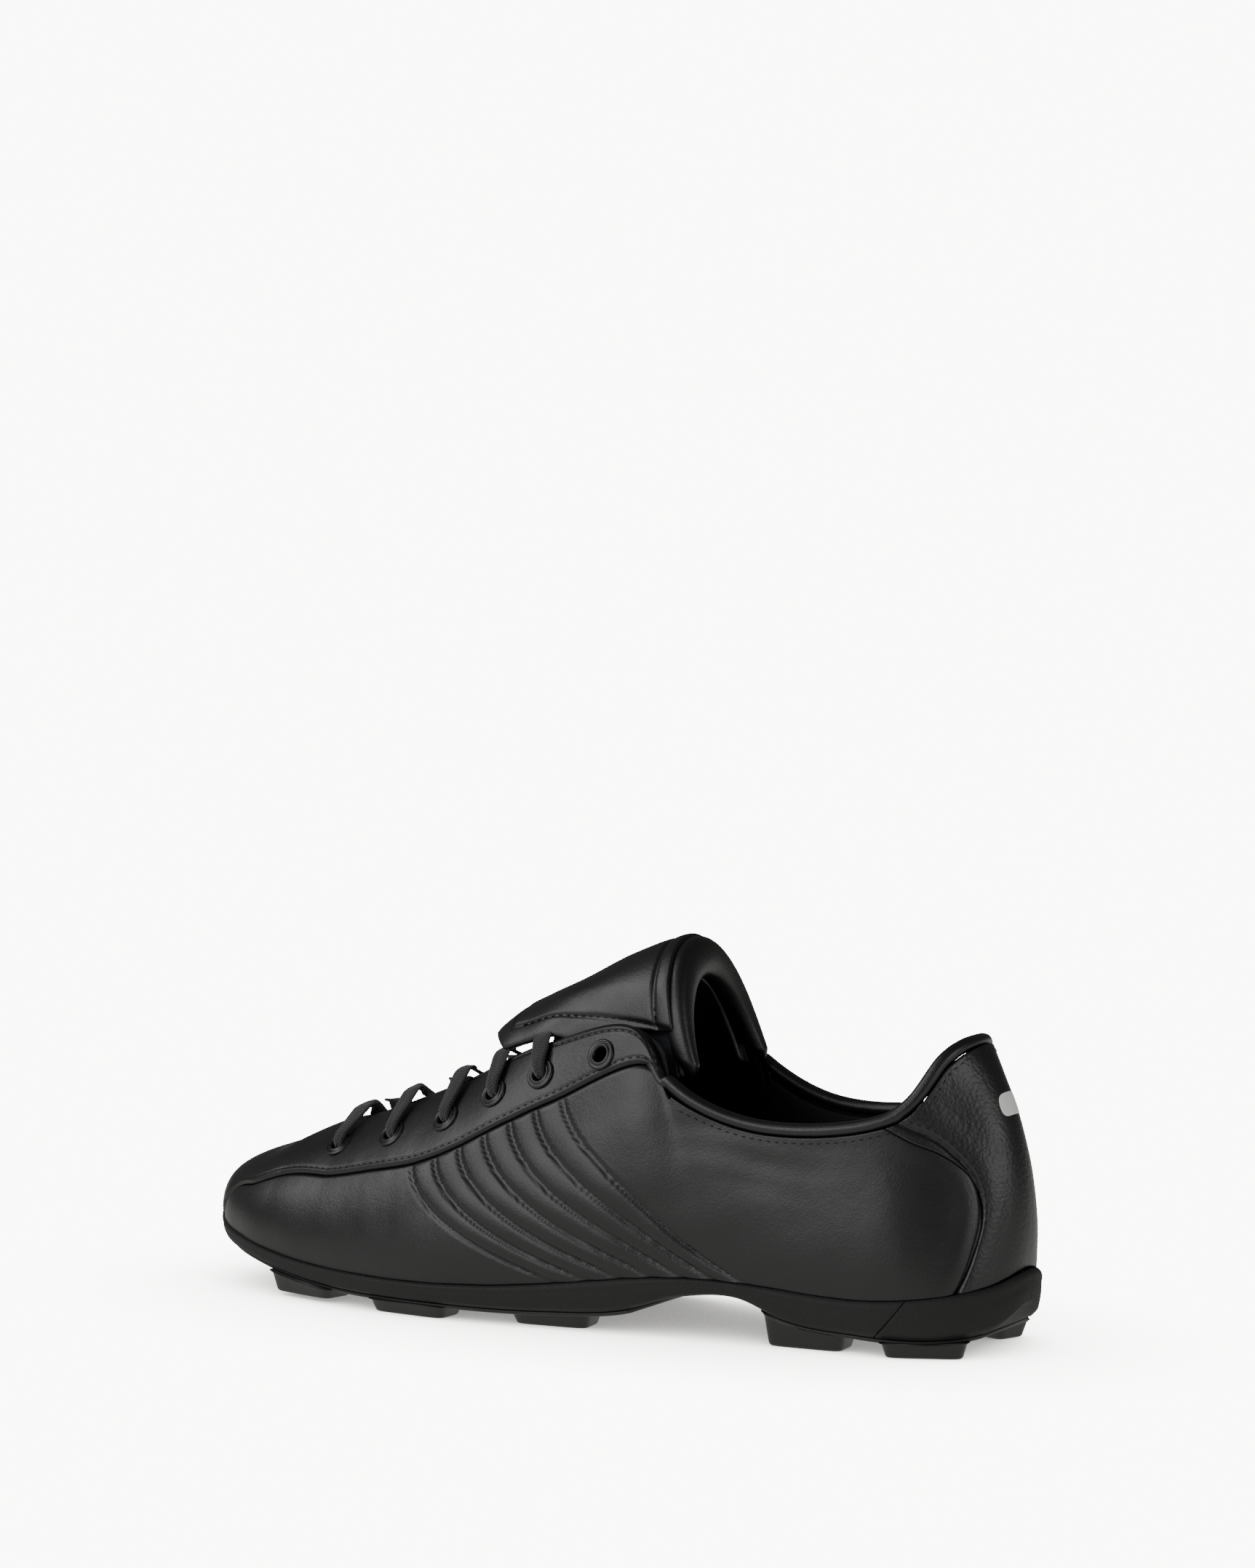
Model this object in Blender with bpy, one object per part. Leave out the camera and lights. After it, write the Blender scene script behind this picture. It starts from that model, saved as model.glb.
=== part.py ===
"""Low-cut leather football boot for the left foot, with a fold-over tongue.

Frame: X runs from the toe (-X) to the heel (+X), Y from the lateral side (-Y) to the medial side,
Z up, with the studs standing on Z = 0 and the origin under the middle of the boot.

Every upper piece is a patch of one last-shaped surface, upper(a, h), taken at a depth below it.
a runs once round the sole: 0 at the toe, 1 at the heel (lateral side), 2 at the toe again (medial side).
h runs up the wall: 0 where the upper meets the sole, 1 at the top line or at the ridge of the vamp.
Sizes are in millimetres and become metres when a mesh is made.
"""
import bmesh
import bpy
import numpy as np
from mathutils import Matrix

MM = 0.001

# Overall sizes
LENGTH = 289.0          # sole, toe to heel
BALL_WIDTH = 95.0       # sole across the ball of the foot
UPPER_HEIGHT = 95.6     # heel collar above the ground
FLAP_HEIGHT = 119.5     # top of the folded tongue above the ground

# Layers of the upper
LEATHER = 1.5
INTERLINING = 0.9
LINING = 1.0
LAYER_GAP = 0.5
SEAM_GAP = 0.5
TOUCH_GAP = 0.3
BINDING_RADIUS = 2.0

# Sole
STUD_TAPER = 1.2
STUD_WIDTH = 11.0
PLATE = 1.5
PLATE_INSET = 3.2
BOARD = 1.6
SOCKLINER = 3.0
FILLER = 2.2
SHANK_WIDTH = 14.0

SPLIT_SLANT = .035      # lean of the joint between the sole unit and the heel cup
SOLE_SPLIT = .80        # station of that joint
# Studs on each side: station, inset from the edge, length, height of the foot above the ground
FOREFOOT_STUDS = ((.27, 3.0, 24.0, 1.4), (.385, 4.0, 26.0, 0.0), (.497, 7.0, 24.0, 0.0))
HEEL_STUDS = ((.695, 5.0, 24.0, 0.0), (.822, 3.5, 23.0, 0.0))

# Eyelets and lace
EYELET_PAIRS = 6
LACED_PAIRS = 5
EYELET_BORE = 4.7
EYELET_TUBE = 5.5
EYELET_FLANGE = 10.0
WASHER_OUTER = 8.0
EYELET_PLATE = 0.5
LACE_THICKNESS = 2.2
AGLET_LENGTH = 20.0

# Tongue
TEXTILE = 0.9
TONGUE_PADDING = 1.5
TONGUE_LEATHER = 1.2
FOLD_RADIUS = 3.3

# Shape of the last. The outline's half widths are shares of the ball width at eleven even stations.
HALF_LATERAL = (.652, .663, .605, .553, .526, .463, .426, .458, .563, .647, .695)
HALF_MEDIAL = (.652, .653, .632, .605, .521, .400, .358, .421, .558, .653, .695)
FEATHER_AT = (0, .15, .3, .45, .6, .75, .9, 1)
FEATHER_Z = (25.4, 18.6, 12.2, 12.3, 19.5, 17.0, 21.4, 25.6)
LEAN_FOOT = (4, 7, 14, 13, 9, 8, 0, 12)
LEAN_TOP = (88, 91, 72, 55, 28, 8, 7, 32)
WALL_PULL = (1.15, 1.2, 1.05, 1, 1, 1, 1, 1)
SOLE_AT = (0, .1, .2, .3, .4, .5, .55, .6, .64, .68, .75, .85, .92, 1)
SOLE_Z = (18.0, 15.0, 11.0, 6.2, 5.2, 5.6, 7.4, 13.5, 14.4, 8.8, 6.2, 6.0, 8.2, 14.0)
UPPER_INSET = ((0, .25, .8, 1), (0.1, 1.2, 1.2, 2.4))

# Top edge: station, X as a share of the length, Y on the lateral and on the medial side as shares of the
# ball width, and Z as a share of the upper height. It is the vamp's ridge, then the throat's edge, the
# eyestay's corner, the collar and the heel's top.
TOP_EDGE = (
    (.00, -.398, .000, .000, .484),
    (.12, -.376, .000, .000, .504),
    (.22, -.342, .000, .000, .559),
    (.30, -.294, .114, .114, .594),
    (.40, -.162, .175, .175, .743),
    (.50, -.036, .250, .245, .909),
    (.575, .084, .318, .308, .984),
    (.62, .124, .362, .326, .858),
    (.70, .221, .348, .303, .725),
    (.80, .369, .284, .252, .757),
    (.90, .423, .158, .150, .952),
    (1.0, .436, .000, .000, 1.00))
THROAT_START = .22
RIDGE_SLOPE = .42
EYESTAY_END = .605

# Seams: height of the eyestay seam by station, and station of the heel panel's seam by height.
EYESTAY_SEAM = ((.10, .12, .18, .257, .335, .385, .465, .529, .595, .61),
                (.00, .20, .36, .494, .550, .556, .669, .763, .881, .905))
HEEL_SEAM = ((0, .16, .30, .38, .48, .60, .72, .86, 1), (.862, .889, .909, .912, .906, .885, .861, .830, .803))

# Eyelets: station and height of each pair, from the toe up
EYELET_STATION = (.289, .353, .405, .451, .495, .543)
EYELET_HEIGHT = (.725, .738, .755, .812, .844, .870)

# Tongue below the flap, along X: middle height, half width and how far its edges hang below the middle
TONGUE_X = (-103, -84, -46, -10, 5, 14, 22, 27)
TONGUE_Z = (42.5, 47.5, 62.5, 80.5, 92.0, 100.5, 107.5, 110.5)
TONGUE_HALF = (15, 18, 24, 25, 23.5, 22.8, 22.6, 22.8)
TONGUE_DROP = (6, 6.5, 9, 12, 17, 22, 28, 32)
# The flap, in the same way, from its front edge to the fold
FLAP_X = (-35, -30, -20, -10, 0, 10, 20, 27)
FLAP_Z = (91.0, 94.5, 98.7, 103.5, 108.5, 113.3, 117.3, 119.2)
FLAP_HALF = (16, 18.5, 20.3, 21.3, 22.2, 23.0, 24.0, 24.6)
FLAP_DROP = (5.5, 7, 8, 10, 15, 20.5, 26, 30)
FOLD_SWEEP = 8.0        # the ends of the fold lie this much nearer the heel than its middle

GRADE_X = LENGTH / 289.0
GRADE_Y = BALL_WIDTH / 95.0
GRADE_Z = UPPER_HEIGHT / 95.6
LINING_TOP = LEATHER + INTERLINING + 2 * LAYER_GAP
WALL = LINING_TOP + LINING


def smooth(at, values, x, level=False):
    """Piecewise cubic through the values; level ends let the two sides of the boot meet without a crease."""
    at, values, x = (np.asarray(q, float) for q in (at, values, x))
    step = np.diff(at)
    rise = np.diff(values) / step
    slope = np.empty_like(values)
    slope[1:-1] = (rise[:-1] * step[1:] + rise[1:] * step[:-1]) / (step[1:] + step[:-1])
    slope[0], slope[-1] = (0, 0) if level else (rise[0], rise[-1])
    i = np.clip(np.searchsorted(at, x, side="right") - 1, 0, len(at) - 2)
    w = step[i]
    t = (x - at[i]) / w
    return ((2 * t**3 - 3 * t**2 + 1) * values[i] + (t**3 - 2 * t**2 + t) * w * slope[i]
            + (3 * t**2 - 2 * t**3) * values[i + 1] + (t**3 - t**2) * w * slope[i + 1])


def unit(v):
    return v / np.maximum(np.linalg.norm(v, axis=-1, keepdims=True), 1e-9)


def station(a):
    """Distance along the boot, 0 at the toe to 1 at the heel, on either side."""
    a = np.mod(a, 2.0)
    return np.where(a <= 1, a, 2 - a)


def outline_xy(a):
    """Edge of the sole in plan: a half sine whose width follows each side's table."""
    s = station(a)
    even = np.linspace(0, 1, len(HALF_LATERAL))
    half = np.where(np.mod(a, 2.0) <= 1, smooth(even, HALF_LATERAL, s, True), smooth(even, HALF_MEDIAL, s, True))
    return -LENGTH / 2 * np.cos(np.pi * a), -half * BALL_WIDTH * np.sin(np.pi * a)


def outline(a, inset=0.0, z=None):
    """Points round the sole, moved inwards by inset, at height z or on the feather line."""
    a = np.asarray(a, float)
    e = 1e-4
    x, y = outline_xy(a)
    x0, y0 = outline_xy(a - e)
    x1, y1 = outline_xy(a + e)
    out = unit(np.stack([y1 - y0, x0 - x1], -1))
    z = feather_z(a) if z is None else z
    return np.stack([x - out[..., 0] * inset, y - out[..., 1] * inset, z + 0 * x], -1)


def feather_z(a):
    return smooth(FEATHER_AT, FEATHER_Z, station(a), True)


def foot_edge(a):
    return outline(a, np.interp(station(a), *UPPER_INSET))


def top_edge(a):
    table = np.array(TOP_EDGE)
    s = station(a)
    x, lateral, medial_y, z = (smooth(table[:, 0], table[:, k], s, k in (1, 4)) for k in (1, 2, 3, 4))
    y = np.where(np.mod(a, 2.0) <= 1, -np.maximum(lateral, 0), np.maximum(medial_y, 0))
    return np.stack([x * LENGTH, y * BALL_WIDTH, z * UPPER_HEIGHT], -1)


def upper(a, h):
    """Outer surface of the upper: a cubic from the foot edge to the top edge, with a lean at each end."""
    a, h = np.broadcast_arrays(np.asarray(a, float), np.asarray(h, float))
    s = station(a)
    foot, top = foot_edge(a), top_edge(a)
    e = 1e-4
    along = foot_edge(a + e) - foot_edge(a - e)
    out = unit(np.stack([along[..., 1], -along[..., 0], 0 * s], -1))
    inward = top - foot
    inward[..., 2] = 0
    inward = unit(inward)
    chord = np.linalg.norm(top - foot, axis=-1, keepdims=True) * smooth(FEATHER_AT, WALL_PULL, s, True)[..., None]
    low = np.radians(smooth(FEATHER_AT, LEAN_FOOT, s, True))[..., None]
    high = np.radians(smooth(FEATHER_AT, LEAN_TOP, s, True))[..., None]
    rise = np.array([0, 0, 1.0])
    start = (np.cos(low) * rise + np.sin(low) * out) * chord
    # along the vamp's ridge the wall arrives on the ridge's own slope, so that the two sides join smoothly
    on_ridge = np.clip((THROAT_START + .07 - s) / .07, 0, 1)[..., None]
    ridge = unit(inward + inward[..., :1] * RIDGE_SLOPE * rise)
    end = (on_ridge * ridge + (1 - on_ridge) * (np.cos(high) * rise + np.sin(high) * inward)) * chord
    h = h[..., None]
    return ((2 * h**3 - 3 * h**2 + 1) * foot + (h**3 - 2 * h**2 + h) * start
            + (3 * h**2 - 2 * h**3) * top + (h**3 - h**2) * end)


def upper_normal(a, h):
    """Outward normal. The vamp's two sides meet at the ridge, whose normal stays in the middle plane."""
    a, h = np.broadcast_arrays(np.asarray(a, float), np.asarray(h, float))
    e = 1e-3
    along = upper(a + e, h) - upper(a - e, h)
    up = upper(a, h + e) - upper(a, h - e)
    normal = np.cross(along, up)
    s = station(a)
    crest = top_edge(s + 2 * e) - top_edge(np.maximum(s - e, 0))
    crest = np.stack([-crest[..., 2], 0 * s, crest[..., 0]], -1)
    on_ridge = ((h > .999) & (s <= THROAT_START))[..., None]
    normal = np.where(on_ridge, crest, normal)
    normal[..., 1] = np.where(s < 1e-6, 0, normal[..., 1])
    return unit(normal)


def upper_at(a, h, depth):
    return upper(a, h) - upper_normal(a, h) * depth


def wall_length(a):
    return np.linalg.norm(top_edge(a) - foot_edge(a), axis=-1)


def below_top(a, distance):
    """The h that lies this far below the top edge, measured square to the edge."""
    a = np.asarray(a, float)
    e = 1e-3
    up = (upper(a, 1.0) - upper(a, 1.0 - e)) / e
    edge = unit(top_edge(a + e) - top_edge(a - e))
    return 1.0 - distance / np.linalg.norm(np.cross(up, edge), axis=-1)


def collar_h(a):
    """Height of the panels' top: the whole wall at the throat, less the binding's depth at the collar.

    The gap under the binding is wider in the bend behind the eyestay's corner."""
    s = station(a)
    bend = .8 * np.clip((.67 - s) / .04, 0, 1)
    return np.where(s < EYESTAY_END, 1.0, below_top(a, 2 * BINDING_RADIUS + 2 * TOUCH_GAP + bend))


def seam_h(s):
    return np.where(s < EYESTAY_SEAM[0][0], 0.0, smooth(*EYESTAY_SEAM, np.maximum(s, EYESTAY_SEAM[0][0])))


def material(name, color, roughness, metallic=0.0):
    m = bpy.data.materials.new(name)
    m.use_nodes = True
    shader = m.node_tree.nodes["Principled BSDF"]
    shader.inputs["Base Color"].default_value = (*color, 1)
    shader.inputs["Roughness"].default_value = roughness
    shader.inputs["Metallic"].default_value = metallic
    return m


def add_object(name, points, faces, mat):
    """One mesh object from points in millimetres; double points are joined and faces turned outwards."""
    mesh = bpy.data.meshes.new(name)
    points = (np.asarray(points).reshape(-1, 3) - ORIGIN) * MM
    mesh.from_pydata(points.tolist(), [], [list(f) for f in faces])
    bm = bmesh.new()
    bm.from_mesh(mesh)
    bmesh.ops.remove_doubles(bm, verts=bm.verts, dist=2e-6)
    bmesh.ops.dissolve_degenerate(bm, dist=2e-6, edges=bm.edges)
    bmesh.ops.recalc_face_normals(bm, faces=bm.faces)
    if bm.calc_volume(signed=True) < 0:
        bmesh.ops.reverse_faces(bm, faces=bm.faces)
    bm.to_mesh(mesh)
    bm.free()
    mesh.shade_smooth()
    obj = bpy.data.objects.new(name, mesh)
    mesh.materials.append(mat)
    bpy.context.collection.objects.link(obj)
    return obj


def grid_faces(rows, cols, first=0, wrap=False):
    """Quads over a grid of rows x cols points; wrap joins the last column to the first."""
    i, j = np.meshgrid(np.arange(rows - 1), np.arange(cols if wrap else cols - 1), indexing="ij")
    k = (j + 1) % cols
    quads = np.stack([i * cols + j, i * cols + k, (i + 1) * cols + k, (i + 1) * cols + j], -1)
    return (quads.reshape(-1, 4) + first).tolist()


def weld(points):
    """For each point, the index of the first point that lies at the same place."""
    keys = np.round(points / 0.01).astype(np.int64)
    _, first, inverse = np.unique(keys, axis=0, return_index=True, return_inverse=True)
    return first[inverse.reshape(-1)]


def sheet(name, surface, patches, near, far, mat):
    """A closed skin: the patches' grids at two depths of a surface, joined round their free edges."""
    a = np.concatenate([p[0].reshape(-1) for p in patches])
    h = np.concatenate([p[1].reshape(-1) for p in patches])
    outer, inner = surface(a, h, near), surface(a, h, far)
    same = weld(surface(a, h, 0.0))
    faces, first = [], 0
    for grid_a, _ in patches:
        faces += grid_faces(*grid_a.shape, first)
        first += grid_a.size
    faces = [t for f in faces for t in (f[:3], [f[0], f[2], f[3]])]
    faces = [[int(same[i]) for i in f] for f in faces]
    faces = [[v for k, v in enumerate(f) if v != f[k - 1]] for f in faces]
    faces = [f for f in faces if len(f) > 2]
    edges = {}
    for f in faces:
        for k, v in enumerate(f):
            edges[(f[k - 1], v)] = True
    rims = [e for e in edges if (e[1], e[0]) not in edges]
    count = len(a)
    faces = faces + [[i + count for i in reversed(f)] for f in faces]
    faces += [[j, i, i + count, j + count] for i, j in rims]
    return add_object(name, np.concatenate([outer, inner]), faces, mat)


def patch(a_of, h_of, us, vs):
    u, v = np.meshgrid(us, vs, indexing="ij")
    a = a_of(u, v)
    return a, h_of(a, u, v)


def both_sides(grid):
    """A lateral patch and its mirror on the medial side, wound the same way."""
    a, h = grid
    return [(a, h), ((2 - a)[::-1], h[::-1])]


def medial(grid):
    a, h = grid
    return (2 - a)[::-1], h[::-1]


def sweep(name, path, across, up, section, mat):
    """A closed tube: the section's (across, up) points carried along the path, with flat ends."""
    section = np.asarray(section)
    rings = (path[:, None] + across[:, None] * section[None, :, :1] + up[:, None] * section[None, :, 1:])
    rows, cols = rings.shape[:2]
    faces = grid_faces(rows, cols, wrap=True)
    faces += [list(range(cols))[::-1], list(range((rows - 1) * cols, rows * cols))]
    return add_object(name, rings, faces, mat)


def ellipse(rx, ry, sides, power=1.0):
    t = np.arange(sides) * 2 * np.pi / sides
    c, s = np.cos(t), np.sin(t)
    return np.stack([rx * np.sign(c) * abs(c)**power, ry * np.sign(s) * abs(s)**power], -1)


def turned(name, centre, axis, profile, mat, sides=9):
    """A ring turned about an axis from a closed (radius, height) profile."""
    axis = unit(np.asarray(axis, float))
    first = unit(np.cross(axis, [1.0, 0, 0]))
    second = np.cross(axis, first)
    t = np.arange(sides) * 2 * np.pi / sides
    spoke = np.cos(t)[:, None] * first + np.sin(t)[:, None] * second
    profile = np.asarray(profile, float)
    rings = centre + profile[:, 0, None, None] * spoke[None] + profile[:, 1, None, None] * axis
    rows = np.concatenate([rings, rings[:1]])
    return add_object(name, rows, grid_faces(len(rows), sides, wrap=True), mat)


def rod(name, low, high, radius, mat, sides=10):
    """A capped cylinder between two points."""
    axis = unit(high - low)
    first = unit(np.cross(axis, [1.0, 0, 0]))
    second = np.cross(axis, first)
    path = np.stack([low, high])
    return sweep(name, path, np.stack([first] * 2), np.stack([second] * 2), ellipse(radius, radius, sides), mat)


def cut(obj, cutters):
    """Cut holes with hidden cutters, kept live as EXACT booleans."""
    for cutter in cutters:
        mod = obj.modifiers.new("eyelet hole", "BOOLEAN")
        mod.operation = "DIFFERENCE"
        mod.object = cutter
    return obj


# The upper

def build_upper(mats):
    leather, pebble, lining, board, foam = (mats[k] for k in ("leather", "pebble", "lining", "board", "foam"))
    rows = np.linspace(0, 1, 8)
    seam_start = EYESTAY_SEAM[0][0] + .004
    seam_stations = np.concatenate([np.linspace(seam_start, .2, 9), np.linspace(.23, EYESTAY_END, 14)])
    gap = SEAM_GAP / 2

    def seam(a, side):
        return np.clip(seam_h(station(a)) + side * gap / wall_length(a), 0, 1)

    # vamp and eyestays: the tip of the toe, then the part above the side seams
    tip_stations = np.linspace(0, seam_start, 5)
    toe = patch(lambda u, v: u, lambda a, u, v: v, tip_stations, np.linspace(0, 1, 9))
    above = patch(lambda u, v: u, lambda a, u, v: np.where(u > seam_start, seam(a, 1), 0) * (1 - v) + v,
                  seam_stations, np.linspace(0, 1, 9))
    top_piece = sheet("vamp_and_eyestays", upper_at, both_sides(toe) + both_sides(above), 0, LEATHER, leather)

    # quarters: from the side seam back to the heel panel's seam
    back = smooth(*HEEL_SEAM, rows)
    collar_stations = np.concatenate([np.linspace(EYESTAY_END + .01, .66, 6), np.linspace(.684, back[-1], 7)])
    top_row = np.concatenate([seam_stations[1:], collar_stations])
    us = (top_row - top_row[0]) / (top_row[-1] - top_row[0])

    def quarter_a(u, v):
        end = smooth(*HEEL_SEAM, v) - gap / LENGTH
        return top_row[0] + u * (end - top_row[0])

    def quarter_h(a, u, v):
        return v * np.where(a < EYESTAY_END + .005, seam(a, -1), collar_h(a))

    quarter = patch(quarter_a, quarter_h, us, rows)
    sheet("quarter_lateral", upper_at, [quarter], 0, LEATHER, leather)
    sheet("quarter_medial", upper_at, [medial(quarter)], 0, LEATHER, leather)

    heel = patch(lambda u, v: 1 + u * (1 - smooth(*HEEL_SEAM, v) - gap / LENGTH),
                 lambda a, u, v: v * collar_h(a), np.linspace(-1, 1, 15), rows)
    sheet("heel_panel", upper_at, [heel], 0, LEATHER, pebble)

    # the layer between leather and lining
    middle = LEATHER + LAYER_GAP
    inner = middle + INTERLINING
    puff = above[0][:7], above[1][:7]
    sheet("toe_puff", upper_at, both_sides(toe) + both_sides(puff), middle, inner, board)
    counter = patch(lambda u, v: 1 + u * .21, lambda a, u, v: v * (collar_h(a) - .16),
                    np.linspace(-1, 1, 17), np.linspace(0, 1, 6))
    sheet("heel_counter", upper_at, [counter], middle, inner, board)
    side = patch(lambda u, v: .23 + u * .545,
                 lambda a, u, v: v * np.where(a < .6, seam(a, -1) - .24, collar_h(a) - .26),
                 np.linspace(0, 1, 17), np.linspace(.02, 1, 6))
    sheet("side_interlining_lateral", upper_at, [side], middle, inner, foam)
    sheet("side_interlining_medial", upper_at, [medial(side)], middle, inner, foam)
    collar = patch(lambda u, v: 1 + u * (1 - EYESTAY_END - .02),
                   lambda a, u, v: collar_h(a) - .01 - .12 * (1 - v), np.linspace(-1, 1, 31), (0, 1))
    sheet("collar_padding", upper_at, [collar], middle, inner, foam)
    stay = patch(lambda u, v: u, lambda a, u, v: (seam(a, 1) + .03) * (1 - v) + .985 * v,
                 np.linspace(.262, EYESTAY_END - .022, 13), np.linspace(0, 1, 4))
    stay_lateral = sheet("eyestay_reinforcement_lateral", upper_at, [stay], middle, inner, board)
    stay_medial = sheet("eyestay_reinforcement_medial", upper_at, [medial(stay)], middle, inner, board)

    # linings
    front = (seam_stations < .38).sum()
    split = seam_stations[front - 1]
    vamp_top = above[0][:front], above[1][:front]
    vamp_side = patch(lambda u, v: u, lambda a, u, v: v * np.where(u > seam_start, seam(a, 1), 0),
                      seam_stations[:front], np.linspace(0, 1, 4))
    vamp_lining = sheet("vamp_lining", upper_at, both_sides(toe) + both_sides(vamp_top) + both_sides(vamp_side),
                        LINING_TOP, WALL, lining)
    rear_stations = np.concatenate([[split + .003], seam_stations[front:], collar_stations,
                                    [.84, .88, .92, .96, 1.0]])

    def lining_h(a):
        s = station(a)
        return np.where(s < EYESTAY_END + .005, 1.0, collar_h(a) - .02 - .05 * np.clip((.67 - s) / .04, 0, 1))

    rear = patch(lambda u, v: u, lambda a, u, v: v * lining_h(a),
                 np.concatenate([rear_stations, 2 - rear_stations[-2::-1]]), np.linspace(0, 1, 7))
    quarter_lining = sheet("quarter_lining", upper_at, [rear], LINING_TOP, WALL, lining)

    # rolled binding round the collar
    a = np.concatenate([collar_stations[1:], np.linspace(.82, 1.0, 10)])
    a = np.concatenate([a, 2 - a[-2::-1]])
    h = below_top(a, BINDING_RADIUS)
    path = upper_at(a, h, WALL / 2)
    out = upper_normal(a, h)
    tangent = unit(np.gradient(path, axis=0))
    sweep("collar_binding", path, out, np.cross(tangent, out), ellipse(WALL / 2, BINDING_RADIUS, 8), leather)
    return [top_piece, stay_lateral, stay_medial, vamp_lining, quarter_lining]


# Eyelets and their washers

def eyelet_frame(pair, side):
    a = EYELET_STATION[pair] if side < 0 else 2 - EYELET_STATION[pair]
    h = EYELET_HEIGHT[pair]
    up = unit(upper(a, h + .01) - upper(a, h - .01))
    return upper(a, h), upper_normal(a, h), up


def build_eyelets(mats, pierced):
    cutters = []
    radius, wall = EYELET_BORE / 2, EYELET_TUBE / 2
    rim, washer = EYELET_FLANGE / 2, WASHER_OUTER / 2
    top = TOUCH_GAP + EYELET_PLATE
    for pair in range(EYELET_PAIRS):
        for side, word in ((-1, "lateral"), (1, "medial")):
            centre, axis, _ = eyelet_frame(pair, side)
            lift = TOUCH_GAP + .15
            eyelet = ((radius, -WALL - 1.5), (radius, lift + EYELET_PLATE), (rim, lift + .25),
                      (rim, lift), (wall, lift), (wall, -WALL - 1.5))
            turned(f"eyelet_{word}_{pair + 1}", centre, axis, eyelet, mats["enamel"])
            ring = ((wall + .2, -WALL - 1.3), (wall + .2, -WALL - .8), (washer, -WALL - .8), (washer, -WALL - 1.3))
            turned(f"washer_{word}_{pair + 1}", centre, axis, ring, mats["nickel"])
            hole = wall + TOUCH_GAP
            cutter = rod(f"cut_{word}_{pair + 1}", centre - axis * (WALL + 3), centre + axis * 3, hole,
                         mats["enamel"])
            cutter.hide_render = True
            cutter.display_type = "WIRE"
            cutters.append((pair, side, cutter))
    top_piece, stay_lateral, stay_medial, vamp_lining, quarter_lining = pierced
    cut(top_piece, [c for _, _, c in cutters])
    cut(stay_lateral, [c for _, side, c in cutters if side < 0])
    cut(stay_medial, [c for _, side, c in cutters if side > 0])
    cut(vamp_lining, [c for pair, _, c in cutters if pair < 2])
    cut(quarter_lining, [c for pair, _, c in cutters if pair > 1])


# Sole

def slab(name, stations, inset, low, high, mat):
    """A flat-topped slab inside the sole's outline, from low(a) to high(a)."""
    a = np.asarray(stations, float)
    b = 2 - a
    ring = np.stack([outline(a, inset, high(a)), outline(a, inset, low(a)),
                     outline(b, inset, low(a)), outline(b, inset, high(a))], 1)
    faces = grid_faces(len(a), 4, wrap=True)
    last = 4 * (len(a) - 1)
    faces += [[3, 2, 1, 0], [last, last + 1, last + 2, last + 3]]
    return add_object(name, ring, faces, mat)


def sole_wall(name, stations, slant_at, mat):
    """Side wall and body of the sole: a rounded profile mirrored to the other side at each station."""
    s = np.asarray(stations, float)[:, None]
    drop = np.array([0, .12, .55, .88, 1.0])[None]
    inset = np.array([.9, 0, .15, 1.0, 2.6])[None] + 0 * s
    reach = np.clip(1 - abs(s - slant_at) / .12, 0, 1)
    s = s - SPLIT_SLANT * drop * reach
    top = feather_z(s) - TOUCH_GAP
    z = top + (smooth(SOLE_AT, SOLE_Z, s, True) - top) * drop
    lateral = outline(s, inset, z)
    medial_side = outline(2 - s, inset, z)[:, ::-1]
    ring = np.concatenate([lateral, medial_side], 1)
    rows, cols = ring.shape[:2]
    faces = grid_faces(rows, cols, wrap=True)
    faces += [list(range(cols))[::-1], list(range((rows - 1) * cols, rows * cols))]
    return add_object(name, ring, faces, mat)


def stud(name, at, mat, top):
    """A tapered bar along the sole's edge: eight-sided in plan, flat where it stands, top(a) above."""
    a, inset, length, foot = at
    centre = outline(a, inset + STUD_WIDTH / 2, 0.0)
    e = 1e-3
    along = unit(outline(a + e, inset, 0.0) - outline(a - e, inset, 0.0))
    across = np.array([-along[1], along[0], 0])
    corner = .28
    half, wide = length / 2, STUD_WIDTH / 2
    shape = np.array([(-1, -1 + corner), (-1 + corner / 2, -1), (1 - corner / 2, -1), (1, -1 + corner),
                      (1, 1 - corner), (1 - corner / 2, 1), (-1 + corner / 2, 1), (-1, 1 - corner)])
    rings = []
    for grow in (0, STUD_TAPER):
        ring = centre + shape[:, :1] * (half + grow) * along + shape[:, 1:] * (wide + grow) * across
        ring[:, 2] = top(np.arccos(-2 * ring[:, 0] / LENGTH) / np.pi) if grow else foot
        rings.append(ring)
    faces = grid_faces(2, 8, wrap=True) + [list(range(8))[::-1], list(range(8, 16))]
    return add_object(name, np.stack(rings), faces, mat)


def studded_plate(name, stations, studs, mat):
    """A thin plate under the sole with its moulded studs, joined to one solid."""
    under = lambda a: smooth(SOLE_AT, SOLE_Z, station(a), True) - 2 * TOUCH_GAP
    plate = slab(name, stations, PLATE_INSET, lambda a: under(a) - PLATE, under, mat)
    for k, (s, inset, length, foot) in enumerate(studs):
        for side, a in (("lateral", s), ("medial", 2 - s)):
            lug = stud(f"lug_{name}_{side}_{k + 1}", (a, inset, length, foot), mat, lambda b: under(b) - PLATE / 2)
            lug.hide_render = True
            lug.display_type = "WIRE"
            mod = plate.modifiers.new("stud", "BOOLEAN")
            mod.operation = "UNION"
            mod.object = lug
    return plate


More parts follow.
